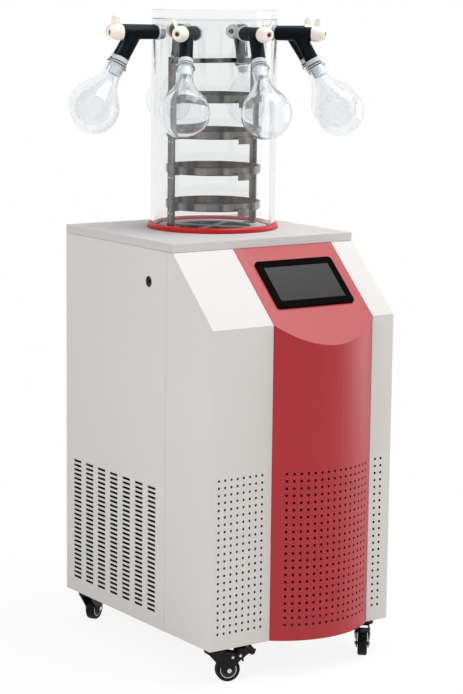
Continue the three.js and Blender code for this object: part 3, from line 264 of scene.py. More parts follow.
powder_white, tree = new_tree("powder_coat_warm_white")
powder(tree, 300, "#c7c5c1", "#cccac7", (0.42, 0.54), 0.10)


def faced_out(mesh):
    """Turns every face of a closed mesh outward"""
    shape = bmesh.new()
    shape.from_mesh(mesh)
    bmesh.ops.recalc_face_normals(shape, faces=shape.faces)
    shape.to_mesh(mesh)
    shape.free()
    return mesh


def prisms(outlines, along, depth):
    """Mesh of closed columns: each outline of points is pushed a depth in mm along a direction"""
    corners, faces = [], []
    for outline, direction in zip(outlines, along):
        first, count = len(corners), len(outline)
        push = Vector(direction).normalized() * depth
        corners += [Vector(p) * MM for p in outline] + [(Vector(p) + push) * MM for p in outline]
        faces.append(tuple(range(first, first + count)))
        faces.append(tuple(range(first + 2 * count - 1, first + count - 1, -1)))
        for i in range(count):
            j = (i + 1) % count
            faces.append((first + i, first + count + i, first + count + j, first + j))
    mesh = bpy.data.meshes.new("columns")
    mesh.from_pydata(corners, [], faces)
    return faced_out(mesh)


def combined(mesh, tool, operation):
    """The mesh cut by or joined with another, as a new mesh"""
    work = bpy.data.objects.new("work", mesh)
    other = bpy.data.objects.new("tool", tool)
    for o in (work, other):
        bpy.context.scene.collection.objects.link(o)
    step = work.modifiers.new("step", "BOOLEAN")
    step.object, step.operation, step.solver = other, operation, "EXACT"
    bpy.context.view_layer.update()
    made = bpy.data.meshes.new_from_object(work.evaluated_get(bpy.context.evaluated_depsgraph_get()))
    for o in (work, other):
        bpy.data.objects.remove(o)
    return made


HOLE = 5.7  # punched hole's diameter
HOLE_PITCH = 15.0
HOLE_ROWS = 22
FIRST_HOLE_ROW, LAST_HOLE_ROW = 34.0, 348.0  # above the cabinet's foot
PUNCH_LENGTH = 12.0  # half of it on either side of the sheet's face
HOLE_SIDES = 16
STRIP_HOLES = [-207.3 + HOLE_PITCH * i for i in range(8)] + [184.7, 199.3]  # across the white front


def in_cabinet(x, y, z):
    """A point of the cabinet, measured from the foot of its front, in the room"""
    return cabinet_foot / MM + Vector((x, y, z))


def punch(middle, direction):
    """Outline of a round punch ahead of a point of the sheet, square to its direction"""
    level = Vector((direction[1], -direction[0], 0)).normalized()
    start = middle - Vector(direction).normalized() * PUNCH_LENGTH / 2
    turns = [2 * math.pi * k / HOLE_SIDES for k in range(HOLE_SIDES)]
    return [start + HOLE / 2 * (math.cos(a) * level + math.sin(a) * Vector((0, 0, 1))) for a in turns]


black_shade_lining, tree = new_tree("painted_shade_lining")
# Matt black on the covers' inner faces, painted shade so that the slots and holes look black.
tone = mottled(tree, 3, 4.0, "#08080a", "#161618")[1]
skin = add(tree, "BsdfPrincipled", {"Base Color": tone, "Roughness": 1.0, "Specular IOR Level": 0.1})
add(tree, "OutputMaterial", {"Surface": skin})


def shade_lined(piece):
    """Painted shade: a matt black lining on the faces of a cover that look into the cabinet"""
    piece.data.materials.append(black_shade_lining)
    heart = in_cabinet(0, 290, 400) * MM
    for face in piece.data.polygons:
        if face.normal.dot((heart - face.center).normalized()) > 0.3:
            face.material_index = 1


rows = [FIRST_HOLE_ROW + (LAST_HOLE_ROW - FIRST_HOLE_ROW) / (HOLE_ROWS - 1) * r for r in range(HOLE_ROWS)]
punches = [punch(in_cabinet(x, 0, z), (0, 1, 0)) for x in STRIP_HOLES for z in rows]
punches = prisms(punches, [(0, 1, 0)] * len(punches), PUNCH_LENGTH)
front = combined(rounded_copy("front_cover", 1.0, 3), punches, "DIFFERENCE")
shade_lined(show("front_cover_sheet", smoothed(front), powder_white, "cabinet", "front_cover"))
for node in ("side_panel_left", "side_panel_right", "rear_panel"):
    sheet = smoothed(rounded_copy(node, 0.4))
    shade_lined(show(f"{node}_sheet", sheet, powder_white, "cabinet", node))


# ---- Red front panel ----------------------------------------------------------------------------
# One steel sheet rolled to a shallow bow, with the slope's flat welded on, its edges folded back and
# its vent holes punched before rolling. Powder coated red, smoother and glossier than the covers.
powder_red, tree = new_tree("powder_coat_red")
powder(tree, 250, "#9c111e", "#a41724", (0.36, 0.46), 0.08)

RED_HALF, RED_BOW = 124.5, 46.0  # half its width, and how far it bows forward
RED_MIDDLE = 45.5  # from the cabinet's middle
BOW_HOLES = 15
bow_radius = (RED_HALF**2 + RED_BOW**2) / (2 * RED_BOW)
bow_punches, bow_ways = [], []
for column in range(BOW_HOLES):
    bend = (column - (BOW_HOLES - 1) / 2) * HOLE_PITCH / bow_radius
    outward = Vector((math.sin(bend), -math.cos(bend), 0))
    for z in rows:
        across, back = RED_MIDDLE + bow_radius * outward.x, bow_radius - RED_BOW + bow_radius * outward.y
        bow_punches.append(punch(in_cabinet(across, back, z), -outward))
        bow_ways.append(-outward)
bow_punches = prisms(bow_punches, bow_ways, PUNCH_LENGTH)
red = combined(rounded_copy("red_front_panel", 1.0, 3), bow_punches, "DIFFERENCE")
shade_lined(show("red_front_sheet", smoothed(red), powder_red, "cabinet", "red_front_panel"))


# ---- Touch screen -------------------------------------------------------------------------------
# A resistive touch panel in a black ABS bezel, dropped through the slope's window and clamped from
# behind. The bezel is moulded with a fine satin grain, and the display behind it is switched on, dark.
moulded_abs, tree = new_tree("moulded_abs_black")
# Spark-eroded grain drawn at 1 mm, deep enough to kill nearly all of the gloss.
grain, tone = mottled(tree, 1, 2.0, "#020101", "#060403")
bump = add(tree, "Bump", {"Height": grain, "Strength": 0.1, "Distance": 0.0001})
skin = add(
    tree, "BsdfPrincipled",
    {"Base Color": tone, "Roughness": 0.5, "Specular IOR Level": 0.01, "Normal": bump},
)
add(tree, "OutputMaterial", {"Surface": skin})

display_glass, tree = new_tree("coated_display_glass")
# A hard anti-glare coat over a dark grey picture, with a painted highlight lightening its upper edge.
place = add(tree, "TexCoord").outputs["Object"]
spread = add(tree, "SeparateXYZ", {0: place})
high = add(tree, "MapRange", {"Value": spread.outputs["Y"], "From Min": -44 * MM, "From Max": 44 * MM})
# painted highlight: the colour lightens towards the display's upper edge
tone = add(tree, "MixRGB", {"Fac": high, "Color1": "#2b2b2c", "Color2": "#363738"})
haze = add(tree, "TexNoise", {"Vector": place, "Scale": 1 / (1 * MM), "Detail": 1.0})
sheen = add(tree, "MapRange", {"Value": haze, "To Min": 0.2, "To Max": 0.3})
skin = add(tree, "BsdfPrincipled", {"Base Color": tone, "Roughness": sheen, "Specular IOR Level": 0.06})
add(tree, "OutputMaterial", {"Surface": skin})

SLOPE_RISE, SLOPE_RUN, FOLD = 137.0, 146.0, 650.0
SCREEN_UP_SLOPE, SCREEN_SHIFT = 99.0, 2.0
DISPLAY = (162.0, 88.0)
DISPLAY_TOP = 3.7  # above the slope
slope_turn = math.atan2(SLOPE_RISE, SLOPE_RUN)
on_slope = (
    Matrix.Translation(in_cabinet(RED_MIDDLE + SCREEN_SHIFT, 0, FOLD) * MM)
    @ Matrix.Rotation(slope_turn, 4, "X")
    @ Matrix.Translation((0, SCREEN_UP_SLOPE * MM, 0))
)


def rounded_plate(width, height, corner, low, high, edge, steps=6):
    """Mesh of a flat plate with round corners and a rounded upper edge, centred on Z"""
    outline = []
    for cx, cy, start in ((1, -1, -90), (1, 1, 0), (-1, 1, 90), (-1, -1, 180)):
        for k in range(steps + 1):
            a = math.radians(start + 90 * k / steps)
            x, y = cx * (width / 2 - corner), cy * (height / 2 - corner)
            outline.append((x + corner * math.cos(a), y + corner * math.sin(a)))
    shape = bmesh.new()
    base = shape.faces.new([shape.verts.new((x * MM, y * MM, low * MM)) for x, y in outline])
    top = bmesh.ops.extrude_face_region(shape, geom=[base])["geom"]
    for v in (g for g in top if isinstance(g, bmesh.types.BMVert)):
        v.co.z = high * MM
    bmesh.ops.recalc_face_normals(shape, faces=shape.faces)
    rim = [e for e in shape.edges if all(abs(v.co.z - high * MM) < 1e-7 for v in e.verts)]
    bmesh.ops.bevel(shape, geom=rim, offset=edge * MM, segments=3, profile=0.5, affect="EDGES")
    mesh = bpy.data.meshes.new("plate")
    shape.to_mesh(mesh)
    shape.free()
    return mesh


screen = rounded_copy("touch_screen", 0.5)
show("screen_bezel", smoothed(screen), moulded_abs, "cabinet", "touch_screen")
pane = rounded_plate(*(d - 0.4 for d in DISPLAY), 2, DISPLAY_TOP - 0.5, DISPLAY_TOP, 0.15)
show("screen_display", smoothed(pane), display_glass, "cabinet", at=on_slope)


# ---- Top plate ----------------------------------------------------------------------------------
# A shallow stainless pan turned upside down over the frame: 2 mm sheet folded down at its edges, with
# the trap's opening cut in it. Its flat is brushed from side to side.
BRUSH = 0.9  # mm between brush lines, three times the real so that they show

brushed_steel, tree = new_tree("brushed_stainless_steel")
# Long fine scratches blur a reflection across them and leave faint light and dark streaks.
place = add(tree, "TexCoord").outputs["Object"]
drawn = add(tree, "Mapping", {"Vector": place, "Scale": (4, 1 / (BRUSH * MM), 1 / (BRUSH * MM))})
streak = add(tree, "TexNoise", {"Vector": drawn, "Scale": 1.0, "Detail": 2.0})
tone = add(tree, "MixRGB", {"Fac": streak, "Color1": "#bcb9b9", "Color2": "#cac8c8"})
sheen = add(tree, "MapRange", {"Value": streak, "To Min": 0.56, "To Max": 0.74})
bump = add(tree, "Bump", {"Height": streak, "Strength": 0.15, "Distance": 0.0001})
skin = add(
    tree, "BsdfPrincipled",
    {"Base Color": tone, "Metallic": 0.12, "Specular IOR Level": 0.2, "Roughness": sheen, "Normal": bump},
)
add(tree, "OutputMaterial", {"Surface": skin})

plate = smoothed(rounded_copy("top_plate", 0.8))
show("top_plate_sheet", plate, brushed_steel, "cabinet", "top_plate")


# ---- Vacuum port --------------------------------------------------------------------------------
# A nickel plated brass bulkhead in the left side for the pump's hose, held by a nut inside the sheet.
# Its bore looks dark from outside.
nickel, tree = new_tree("nickel_plated_brass")
# Thin plating over turned brass: darker than steel, with fine turning rings.
tone = mottled(tree, 0.8, 2.0, "#3c3a38", "#5a5653")[1]
skin = add(tree, "BsdfPrincipled", {"Base Color": tone, "Metallic": 0.8, "Roughness": 0.35})
add(tree, "OutputMaterial", {"Surface": skin})

port = smoothed(rounded_copy("vacuum_port", 0.4))
show("vacuum_port_fitting", port, nickel, "cabinet", "vacuum_port")


# ---- Machinery in the cabinet -------------------------------------------------------------------
# Hermetic compressor, finned condenser with its fan and shroud, and the control module, all bolted to
# the pan or the frame. Only glimpses of them show through the slots.

def finish_node(node, material):
    """Gives a CAD node that stays as it is its finish"""
    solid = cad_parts[node]
    solid.data.materials.clear()
    solid.data.materials.append(material)
    for polygon in solid.data.polygons:
        polygon.material_index = 0


compressor_enamel, tree = new_tree("black_stove_enamel")
# Thick glossy enamel on a drawn steel can, with soft sags about a centimetre long.
sag, tone = mottled(tree, 11, 2.0, "#0e0e0f", "#18181a")
bump = add(tree, "Bump", {"Height": sag, "Strength": 0.2, "Distance": 0.0006})
skin = add(tree, "BsdfPrincipled", {"Base Color": tone, "Roughness": 0.28, "Normal": bump})
add(tree, "OutputMaterial", {"Surface": skin})
finish_node("compressor", compressor_enamel)

fin_stock, tree = new_tree("rolled_aluminium_fins")
# Bare rolled strip, bright and slightly uneven from one fin to the next.
place = add(tree, "TexCoord").outputs["Object"]
strip = add(tree, "Mapping", {"Vector": place, "Scale": (1 / (6 * MM), 20, 20)})
uneven = add(tree, "TexNoise", {"Vector": strip, "Scale": 1.0, "Detail": 2.0})
tone = add(tree, "MixRGB", {"Fac": uneven, "Color1": "#a9acae", "Color2": "#cfd1d2"})
skin = add(tree, "BsdfPrincipled", {"Base Color": tone, "Metallic": 1.0, "Roughness": 0.38})
add(tree, "OutputMaterial", {"Surface": skin})
finish_node("condenser", fin_stock)

glass_filled_nylon, tree = new_tree("moulded_glass_filled_nylon")
# The filler leaves matt swirls in the black, centimetres across.
swirl, tone = mottled(tree, 9, 4.0, "#131313", "#202020")
sheen = add(tree, "MapRange", {"Value": swirl, "To Min": 0.45, "To Max": 0.6})
skin = add(tree, "BsdfPrincipled", {"Base Color": tone, "Roughness": sheen})
add(tree, "OutputMaterial", {"Surface": skin})
finish_node("condenser_fan", glass_filled_nylon)

finish_node("control_module", zinc_plate)


# ---- Mains inlet and switch ---------------------------------------------------------------------
# A moulded appliance inlet with its rocker beside it, snapped into the lower corner of the rear cover.
# Both are dense polycarbonate, finely spark-eroded on the face.
polycarbonate, tree = new_tree("moulded_polycarbonate_black")
spark, tone = mottled(tree, 0.7, 2.0, "#111111", "#1b1b1b")
bump = add(tree, "Bump", {"Height": spark, "Strength": 0.15, "Distance": 0.0001})
skin = add(tree, "BsdfPrincipled", {"Base Color": tone, "Roughness": 0.42, "Normal": bump})
add(tree, "OutputMaterial", {"Surface": skin})

inlet = smoothed(rounded_copy("mains_inlet", 0.5))
show("mains_inlet_housing", inlet, polycarbonate, "cabinet", "mains_inlet")
rocker = smoothed(rounded_copy("rocker_switch", 0.6))
show("rocker_paddle", rocker, polycarbonate, "rocker", "rocker_switch")


# Pan-head screws hold the rear cover along both its edges.
SCREW_HEAD = 3.6  # radius


def turned(profile, steps=96):
    """Mesh turned about Z from pairs of radius and height, closed where they return to their start"""
    closed = profile[0] == profile[-1]
    points = profile[:-1] if closed else profile
    corners, rings = [], []
    for radius, height in points:
        first = len(corners)
        if radius == 0:
            corners.append((0, 0, height * MM))
            rings.append([first] * steps)
            continue
        turns = [2 * math.pi * k / steps for k in range(steps)]
        corners += [(radius * math.cos(a) * MM, radius * math.sin(a) * MM, height * MM) for a in turns]
        rings.append(list(range(first, first + steps)))
    faces = []
    for low, high in list(zip(rings, rings[1:])) + ([(rings[-1], rings[0])] if closed else []):
        for k in range(steps):
            n = (k + 1) % steps
            face = list(dict.fromkeys((low[k], low[n], high[n], high[k])))
            if len(face) > 2:
                faces.append(face)
    mesh = bpy.data.meshes.new("turned")
    mesh.from_pydata(corners, [], faces)
    return faced_out(mesh)


def gathered(parts):
    """One mesh of several, each given with its place"""
    shape = bmesh.new()
    for mesh, place in parts:
        copy = mesh.copy()
        copy.transform(place)
        shape.from_mesh(copy)
        bpy.data.meshes.remove(copy)
    mesh = bpy.data.meshes.new("gathered")
    shape.to_mesh(mesh)
    shape.free()
    return mesh


def spot(x, y, z):
    """Placement by a shift in millimetres"""
    return Matrix.Translation(Vector((x, y, z)) * MM)


def turn(angle, axis):
    return Matrix.Rotation(math.radians(angle), 4, axis)


bright_zinc, tree = new_tree("bright_zinc_plated_steel")
# Screws, rivets and nuts: pale metal with a faint cloudiness a few millimetres across.
tone = mottled(tree, 3, 2.0, "#b7b8b8", "#dcdcda")[1]
skin = add(tree, "BsdfPrincipled", {"Base Color": tone, "Metallic": 0.9, "Roughness": 0.28})
add(tree, "OutputMaterial", {"Surface": skin})

rear_low, rear_high = (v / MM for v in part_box("rear_panel"))
head = [(0, 0), (SCREW_HEAD, 0), (SCREW_HEAD, 0.9), (SCREW_HEAD * 0.8, 1.8), (1.2, 2.2), (1.2, 1.2), (0, 1)]
head = turned(head, 24)
heads = [
    (head, spot(x, rear_high.y - 0.05, rear_low.z + (rear_high.z - rear_low.z) * share) @ turn(-90, "X"))
    for x in (rear_low.x + 9, rear_high.x - 9)
    for share in (0.03, 0.27, 0.5, 0.73, 0.97)
]
show("rear_cover_screws", smoothed(gathered(heads)), bright_zinc, "cabinet")


# ---- Cold trap, coil and baffle -----------------------------------------------------------------
# A drawn stainless pot hangs from the top plate by its flange with the evaporator's copper tube round
# it. A cut baffle lies over its mouth and carries the rack, so ice stays clear of the trays.
lid_low, lid_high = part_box("chamber_lid")
top_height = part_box("top_plate")[1].z
chamber_foot = Matrix.Translation(((lid_low.x + lid_high.x) / 2, (lid_low.y + lid_high.y) / 2, top_height))

TRAP_RADIUS, TRAP_DEPTH, TRAP_WALL = 110.0, 255.0, 2.0


def eased(points, cut, steps=3):
    """The outline with each corner rounded off, starting a cut's length away from it"""
    closed = points[0] == points[-1]
    ring = [Vector(p) for p in (points[:-1] if closed else points)]
    count = len(ring)
    out = []
    for i, corner in enumerate(ring):
        if not closed and i in (0, count - 1):
            out.append(corner)
            continue
        before, after = ring[i - 1] - corner, ring[(i + 1) % count] - corner
        first = corner + before.normalized() * min(cut, before.length * 0.45)
        last = corner + after.normalized() * min(cut, after.length * 0.45)
        for k in range(steps + 1):
            t = k / steps
            out.append((1 - t) ** 2 * first + 2 * t * (1 - t) * corner + t**2 * last)
    return [tuple(p) for p in out] + ([tuple(out[0])] if closed else [])


spun_steel, tree = new_tree("spun_stainless_steel")
# Turned pots and pans keep rings from the polishing wheel round them. The broad dark and light bands
# in the colour are painted reflection, and paint the sheet darker than the brushed top.
place = add(tree, "TexCoord").outputs["Object"]
rings = add(tree, "Mapping", {"Vector": place, "Scale": (8, 8, 1 / (BRUSH * MM))})
streak = add(tree, "TexNoise", {"Vector": rings, "Scale": 1.0, "Detail": 2.0})
bands = add(tree, "Mapping", {"Vector": place, "Scale": (1, 1, 0.05)})
band = add(tree, "TexNoise", {"Vector": bands, "Scale": 1 / (28 * MM), "Detail": 1.0})
painted_reflection_share = add(tree, "MapRange", {"Value": band, "From Min": 0.4, "From Max": 0.6})
# painted reflection: the bands mix a near black and a mid grey into the steel's colour
tone = add(tree, "MixRGB", {"Fac": painted_reflection_share, "Color1": "#1f1b1a", "Color2": "#827d79"})
sheen = add(tree, "MapRange", {"Value": streak, "To Min": 0.22, "To Max": 0.36})
bump = add(tree, "Bump", {"Height": streak, "Strength": 0.15, "Distance": 0.0001})
skin = add(
    tree, "BsdfPrincipled", {"Base Color": tone, "Metallic": 1.0, "Roughness": sheen, "Normal": bump}
)
add(tree, "OutputMaterial", {"Surface": skin})

inner = TRAP_RADIUS - TRAP_WALL
pot = [
    (0, -TRAP_DEPTH), (TRAP_RADIUS - 12, -TRAP_DEPTH), (TRAP_RADIUS, 12 - TRAP_DEPTH), (TRAP_RADIUS, 0.3),
    (TRAP_RADIUS + 8, 0.3), (TRAP_RADIUS + 8, 2.3), (inner, 2.3), (inner, 13 - TRAP_DEPTH),
    (inner - 11, 2 - TRAP_DEPTH), (0, 2 - TRAP_DEPTH),
]
pot_mesh = smoothed(turned(eased(pot, 3)))
show("cold_trap_pot", pot_mesh, spun_steel, "cabinet", "cold_trap", chamber_foot)

copper, tree = new_tree("drawn_copper_tube")
# Bright drawn tube that has browned in patches a couple of centimetres long.
tone = mottled(tree, 20, 3.0, "#8a4a2c", "#d08a62")[1]
skin = add(tree, "BsdfPrincipled", {"Base Color": tone, "Metallic": 1.0, "Roughness": 0.32})
add(tree, "OutputMaterial", {"Surface": skin})
finish_node("evaporator_coil", copper)

# The baffle is cut from the same pale brushed sheet as the top, so its spokes stand out over the pot
baffle = smoothed(rounded_copy("trap_baffle", 0.4))
show("trap_baffle_plate", baffle, brushed_steel, "cabinet", "trap_baffle")


# ---- Seal ring ----------------------------------------------------------------------------------
# A moulded silicone ring with a groove that the clear tube stands in. Its own weight and the vacuum
# seal it to the plate. Soft, smooth and bright red, with a touch of light passing through the lips.
silicone, tree = new_tree("moulded_red_silicone")
skin_cloud, tone = mottled(tree, 6, 2.0, "#b00e12", "#be1817")
sheen = add(tree, "MapRange", {"Value": skin_cloud, "To Min": 0.3, "To Max": 0.42})
skin = add(tree, "BsdfPrincipled", {"Base Color": tone, "Roughness": sheen, "Specular IOR Level": 0.3})
add(tree, "OutputMaterial", {"Surface": skin})

TUBE_RADIUS, TUBE_BORE, TUBE_TOP = 132.5, 126.5, 440.0
RING_HEIGHT, RING_SOLE = 11.0, 3.0
RING_RADIUS, RING_INNER = 140.0, 121.0
groove_out, groove_in = TUBE_RADIUS + 0.3, TUBE_BORE - 0.3
ring_profile = [
    (RING_INNER, 0.2), (RING_RADIUS - 1.2, 0.2), (RING_RADIUS, 2), (RING_RADIUS, RING_HEIGHT - 3),
    (RING_RADIUS - 2.5, RING_HEIGHT), (groove_out + 1, RING_HEIGHT), (groove_out, RING_HEIGHT - 1.5),
    (groove_out, RING_SOLE), (groove_in, RING_SOLE), (groove_in, RING_HEIGHT - 1.5),
    (groove_in - 1.5, RING_HEIGHT), (RING_INNER, RING_HEIGHT - 3), (RING_INNER, 0.2),
]
ring_mesh = smoothed(turned(eased(ring_profile, 1.2), 160))
show("seal_ring_moulding", ring_mesh, silicone, "cabinet", "seal_ring", chamber_foot)


# ---- Drying chamber and its port fittings -------------------------------------------------------
# An extruded clear acrylic tube, flame polished at its ends, with eight bored stubs through its wall:
# a white collar and stub outside, pulled up by a steel hexagon nut inside. The lid is a turned disc.
acrylic, tree = new_tree("extruded_clear_acrylic")
# Clear with a breath of grey where it is seen edge on, so the wall draws its own outline.
skin = add(
    tree, "BsdfPrincipled",
    {"Base Color": "#f5f6f6", "Roughness": 0.02, "IOR": 1.49, "Transmission Weight": 1.0},
)
add(tree, "OutputMaterial", {"Surface": skin})

PORT_COUNT, PORT_HEIGHT, PORT_BORE = 8, 412.0, 5.0
PORT_ANGLES = [172.8 + 360 / PORT_COUNT * k for k in range(PORT_COUNT)]
STUB_RADIUS, STUB_END = 8.0, 154.5

wall = [
    (TUBE_BORE, RING_SOLE + 0.3), (TUBE_RADIUS, RING_SOLE + 0.3), (TUBE_RADIUS, TUBE_TOP),
    (TUBE_BORE, TUBE_TOP), (TUBE_BORE, RING_SOLE + 0.3),
]


def rod(radius, low, high):
    """Mesh of a plain round rod on Z"""
    return turned([(0, low), (radius, low), (radius, high), (0, high)], 32)


port_places = [spot(0, 0, PORT_HEIGHT) @ turn(a, "Z") @ turn(90, "Y") for a in PORT_ANGLES]
drill = rod(STUB_RADIUS - 0.2, 120, 140)
drills = gathered([(drill, place) for place in port_places])
tube = smoothed(combined(turned(eased(wall, 0.8), 160), drills, "DIFFERENCE"))
tube = show("chamber_tube", tube, acrylic, "cabinet", "drying_chamber", chamber_foot)
tube.visible_shadow = False

LID_LOW, LID_SEAT, LID_HIGH = TUBE_TOP - 3.7, TUBE_TOP + 0.3, TUBE_TOP + 19.3
spigot = TUBE_BORE - 0.6
lid = [
    (0, LID_LOW), (spigot, LID_LOW), (spigot, LID_SEAT), (TUBE_RADIUS, LID_SEAT), (TUBE_RADIUS, LID_HIGH),
    (0, LID_HIGH),
]
lid = smoothed(turned(eased(lid, 1.2), 160))
lid = show("chamber_lid_disc", lid, acrylic, "cabinet", "chamber_lid", chamber_foot)
lid.visible_shadow = False

polypropylene, tree = new_tree("moulded_white_polypropylene")
# Milky and waxy, with light soaking a little way in.
tone = mottled(tree, 7, 2.0, "#bfc6cb", "#cdd3d7")[1]
skin = add(
    tree, "BsdfPrincipled",
    {"Base Color": tone, "Roughness": 0.36, "Subsurface Weight": 0.15,
     "Subsurface Radius": (0.002, 0.002, 0.002)},
)
add(tree, "OutputMaterial", {"Surface": skin})

collar = [
    (PORT_BORE, 127), (STUB_RADIUS - 0.4, 127), (STUB_RADIUS - 0.4, TUBE_RADIUS - 0.1),
    (16, TUBE_RADIUS - 0.1), (16, TUBE_RADIUS + 2), (STUB_RADIUS, TUBE_RADIUS + 2),
    (STUB_RADIUS, STUB_END), (PORT_BORE, STUB_END), (PORT_BORE, 127),
]
collar_mesh = turned(eased(collar, 0.5), 40)


def hexagon(reach, low, depth):
    """Mesh of a hexagonal column on Z, its corners a reach from the axis"""
    turns = [math.radians(60 * k) for k in range(6)]
    return prisms([[(reach * math.cos(a), reach * math.sin(a), low) for a in turns]], [(0, 0, 1)], depth)


nut = combined(hexagon(14, 117.5, 9), rod(PORT_BORE + 0.8, 110, 130), "DIFFERENCE")
collars = gathered([(collar_mesh, place) for place in port_places])
nuts = gathered([(nut, place) for place in port_places])
show("port_stubs", smoothed(collars), polypropylene, "cabinet", at=chamber_foot)
show("port_nuts", smoothed(nuts), bright_zinc, "cabinet", at=chamber_foot)


# ---- Tray rack and trays ------------------------------------------------------------------------
# Two flat steel posts joined by a bar on edge, with a folded ledge riveted on under each tray. The
# trays are spun pans with a bent grip spot welded to the front.
TRAY_COUNT, TRAY_PITCH, FIRST_TRAY = 4, 75.5, 41.6
TRAY_RADIUS, TRAY_HEIGHT, TRAY_SHEET = 101.0, 16.4, 1.2
POST_FACE = 106.3  # posts' outer faces, either side of the axis
RIVET = 2.3  # radius

rack = smoothed(rounded_copy("tray_rack", 0.4))
show("tray_rack_frame", rack, spun_steel, "cabinet", "tray_rack")
rivet = turned([(0, -0.3), (RIVET, -0.3), (RIVET, 0.5), (RIVET * 0.75, 1.2), (0, 1.6)], 20)
tray_lows = [FIRST_TRAY + TRAY_PITCH * k for k in range(TRAY_COUNT)]
rivets = [
    (rivet, spot(side * POST_FACE, y, low - 8) @ turn(90 * side, "Y"))
    for low in tray_lows
    for side in (-1, 1)
    for y in (-6, 6)
]
rivets = smoothed(gathered(rivets))
show("rack_rivets", rivets, bright_zinc, "cabinet", at=chamber_foot)


def bent_strip(path, thickness, width):
    """Mesh of a sheet strip bent along a path of Y and Z pairs, its width across X"""
    points = [Vector(p) for p in eased(path, 3, 4)]
    sides = []
    for i, p in enumerate(points):
        along = (points[min(i + 1, len(points) - 1)] - points[max(i - 1, 0)]).normalized()
        sides.append(Vector((-along.y, along.x)) * thickness / 2)
    outline = [p + s for p, s in zip(points, sides)] + [p - s for p, s in zip(points, sides)][::-1]
    return prisms([[(-width / 2, y, z) for y, z in outline]], [(1, 0, 0)], width)


r, high = TRAY_RADIUS, TRAY_HEIGHT
pan = [
    (0, 0), (r - 2, 0), (r, 2), (r, high - 1), (r + 0.5, high - 0.5), (r, high), (r - TRAY_SHEET, high),
    (r - TRAY_SHEET, 2.4), (r - 2.4, TRAY_SHEET), (0, TRAY_SHEET),
]
grip_top = TRAY_HEIGHT - 10.3 - TRAY_SHEET / 2
grip = bent_strip([(-r + 0.6, grip_top), (-r - 11.4, grip_top), (-r - 11.4, grip_top - 14.4)], TRAY_SHEET, 28)
tray = smoothed(gathered([(turned(eased(pan, 0.8), 128), Matrix()), (grip, Matrix())]))
for k, tray_low in enumerate(tray_lows):
    place = chamber_foot @ spot(0, 0, tray_low)
    show(f"tray_pan_{k + 1}", tray, spun_steel, "cabinet", f"tray_{k + 1}", place)


# ---- Flask valves -------------------------------------------------------------------------------
# A moulded rubber tee pushed over each stub, with a leaning leg for the flask's joint. A cream plastic
# plug with a wing turns in its end: half a turn shuts the flask off. Dull black, with a waxy bloom.
rubber, tree = new_tree("moulded_black_rubber")
bloom, tone = mottled(tree, 5, 4.0, "#050a0f", "#0d151b")
sheen = add(tree, "MapRange", {"Value": bloom, "To Min": 0.3, "To Max": 0.46})
bump = add(tree, "Bump", {"Height": bloom, "Strength": 0.12, "Distance": 0.0002})
skin = add(
    tree, "BsdfPrincipled",
    {"Base Color": tone, "Roughness": sheen, "Specular IOR Level": 0.08, "Normal": bump},
)
add(tree, "OutputMaterial", {"Surface": skin})

cream, tree = new_tree("moulded_cream_acetal")
# Warm ivory plastic, satin from the tool, a little yellower where it is thick.
tone = mottled(tree, 12, 2.0, "#e8e0d4", "#f2ece3")[1]
skin = add(
    tree, "BsdfPrincipled",
    {"Base Color": tone, "Roughness": 0.38, "Subsurface Weight": 0.12,
     "Subsurface Radius": (0.002, 0.0016, 0.001)},
)
add(tree, "OutputMaterial", {"Surface": skin})

tan, tree = new_tree("moulded_tan_bore")
# The bore's wall is left as it came off its core pin: browner and rougher than the outside.
tone = mottled(tree, 1.5, 2.0, "#b8935f", "#c9a878")[1]
skin = add(tree, "BsdfPrincipled", {"Base Color": tone, "Roughness": 0.55})
add(tree, "OutputMaterial", {"Surface": skin})

VALVE_ROLLS = [0, 10, -8, 0, -13, 2, -10, 0]  # degrees, how each tee hangs on its stub
KNOB_TURNS = [0, 28, -33, -7, 5, -20, 15, -4]  # degrees, how each plug is left
VALVE_START, VALVE_END, VALVE_RADIUS = 134.8, 213.8, 14.5
LEG_START, LEG_LEAN, LEG_LENGTH = 182.8, 30.5, 62.0
JOINT_END = 78.0  # along the leg
SPINDLE, KNOB_RADIUS, KNOB_LENGTH, WING_REACH = 7.0, 16.5, 29.0, 33.0

down_leg = spot(LEG_START, 0, 0) @ turn(180 - LEG_LEAN, "Y")
lip = 1.6
barrel = [
    (0, VALVE_START), (VALVE_RADIUS - lip, VALVE_START), (VALVE_RADIUS, VALVE_START + lip),
    (VALVE_RADIUS, VALVE_END - lip), (VALVE_RADIUS - lip, VALVE_END), (0, VALVE_END),
]
limb = [
    (0, -2), (VALVE_RADIUS - 0.3, -2), (VALVE_RADIUS - 0.3, LEG_LENGTH - 8),
    (VALVE_RADIUS + 0.2, LEG_LENGTH - 1.5), (VALVE_RADIUS - 1, LEG_LENGTH), (0, LEG_LENGTH),
]


def fused(parts, grain, rounds):
    """One skin over several overlapping solids, with a moulded fillet where they meet"""
    work = bpy.data.objects.new("work", gathered(parts))
    bpy.context.scene.collection.objects.link(work)
    remesh = work.modifiers.new("remesh", "REMESH")
    remesh.mode, remesh.voxel_size = "VOXEL", grain * MM
    ease = work.modifiers.new("ease", "SMOOTH")
    ease.factor, ease.iterations = 0.5, rounds
    bpy.context.view_layer.update()
    made = bpy.data.meshes.new_from_object(work.evaluated_get(bpy.context.evaluated_depsgraph_get()))
    bpy.data.objects.remove(work)
    return made


tee = fused([(turned(barrel, 64), turn(90, "Y")), (turned(limb, 64), down_leg)], 1.4, 5)
bores = gathered(
    [
        (rod(STUB_RADIUS + 0.3, 130, 157), turn(90, "Y")),
        (rod(SPINDLE + 0.3, 187, 220), turn(90, "Y")),
        (rod(11.8, 39, 70), down_leg),
    ]
)
tee = smoothed(combined(tee, bores, "DIFFERENCE"), 50)

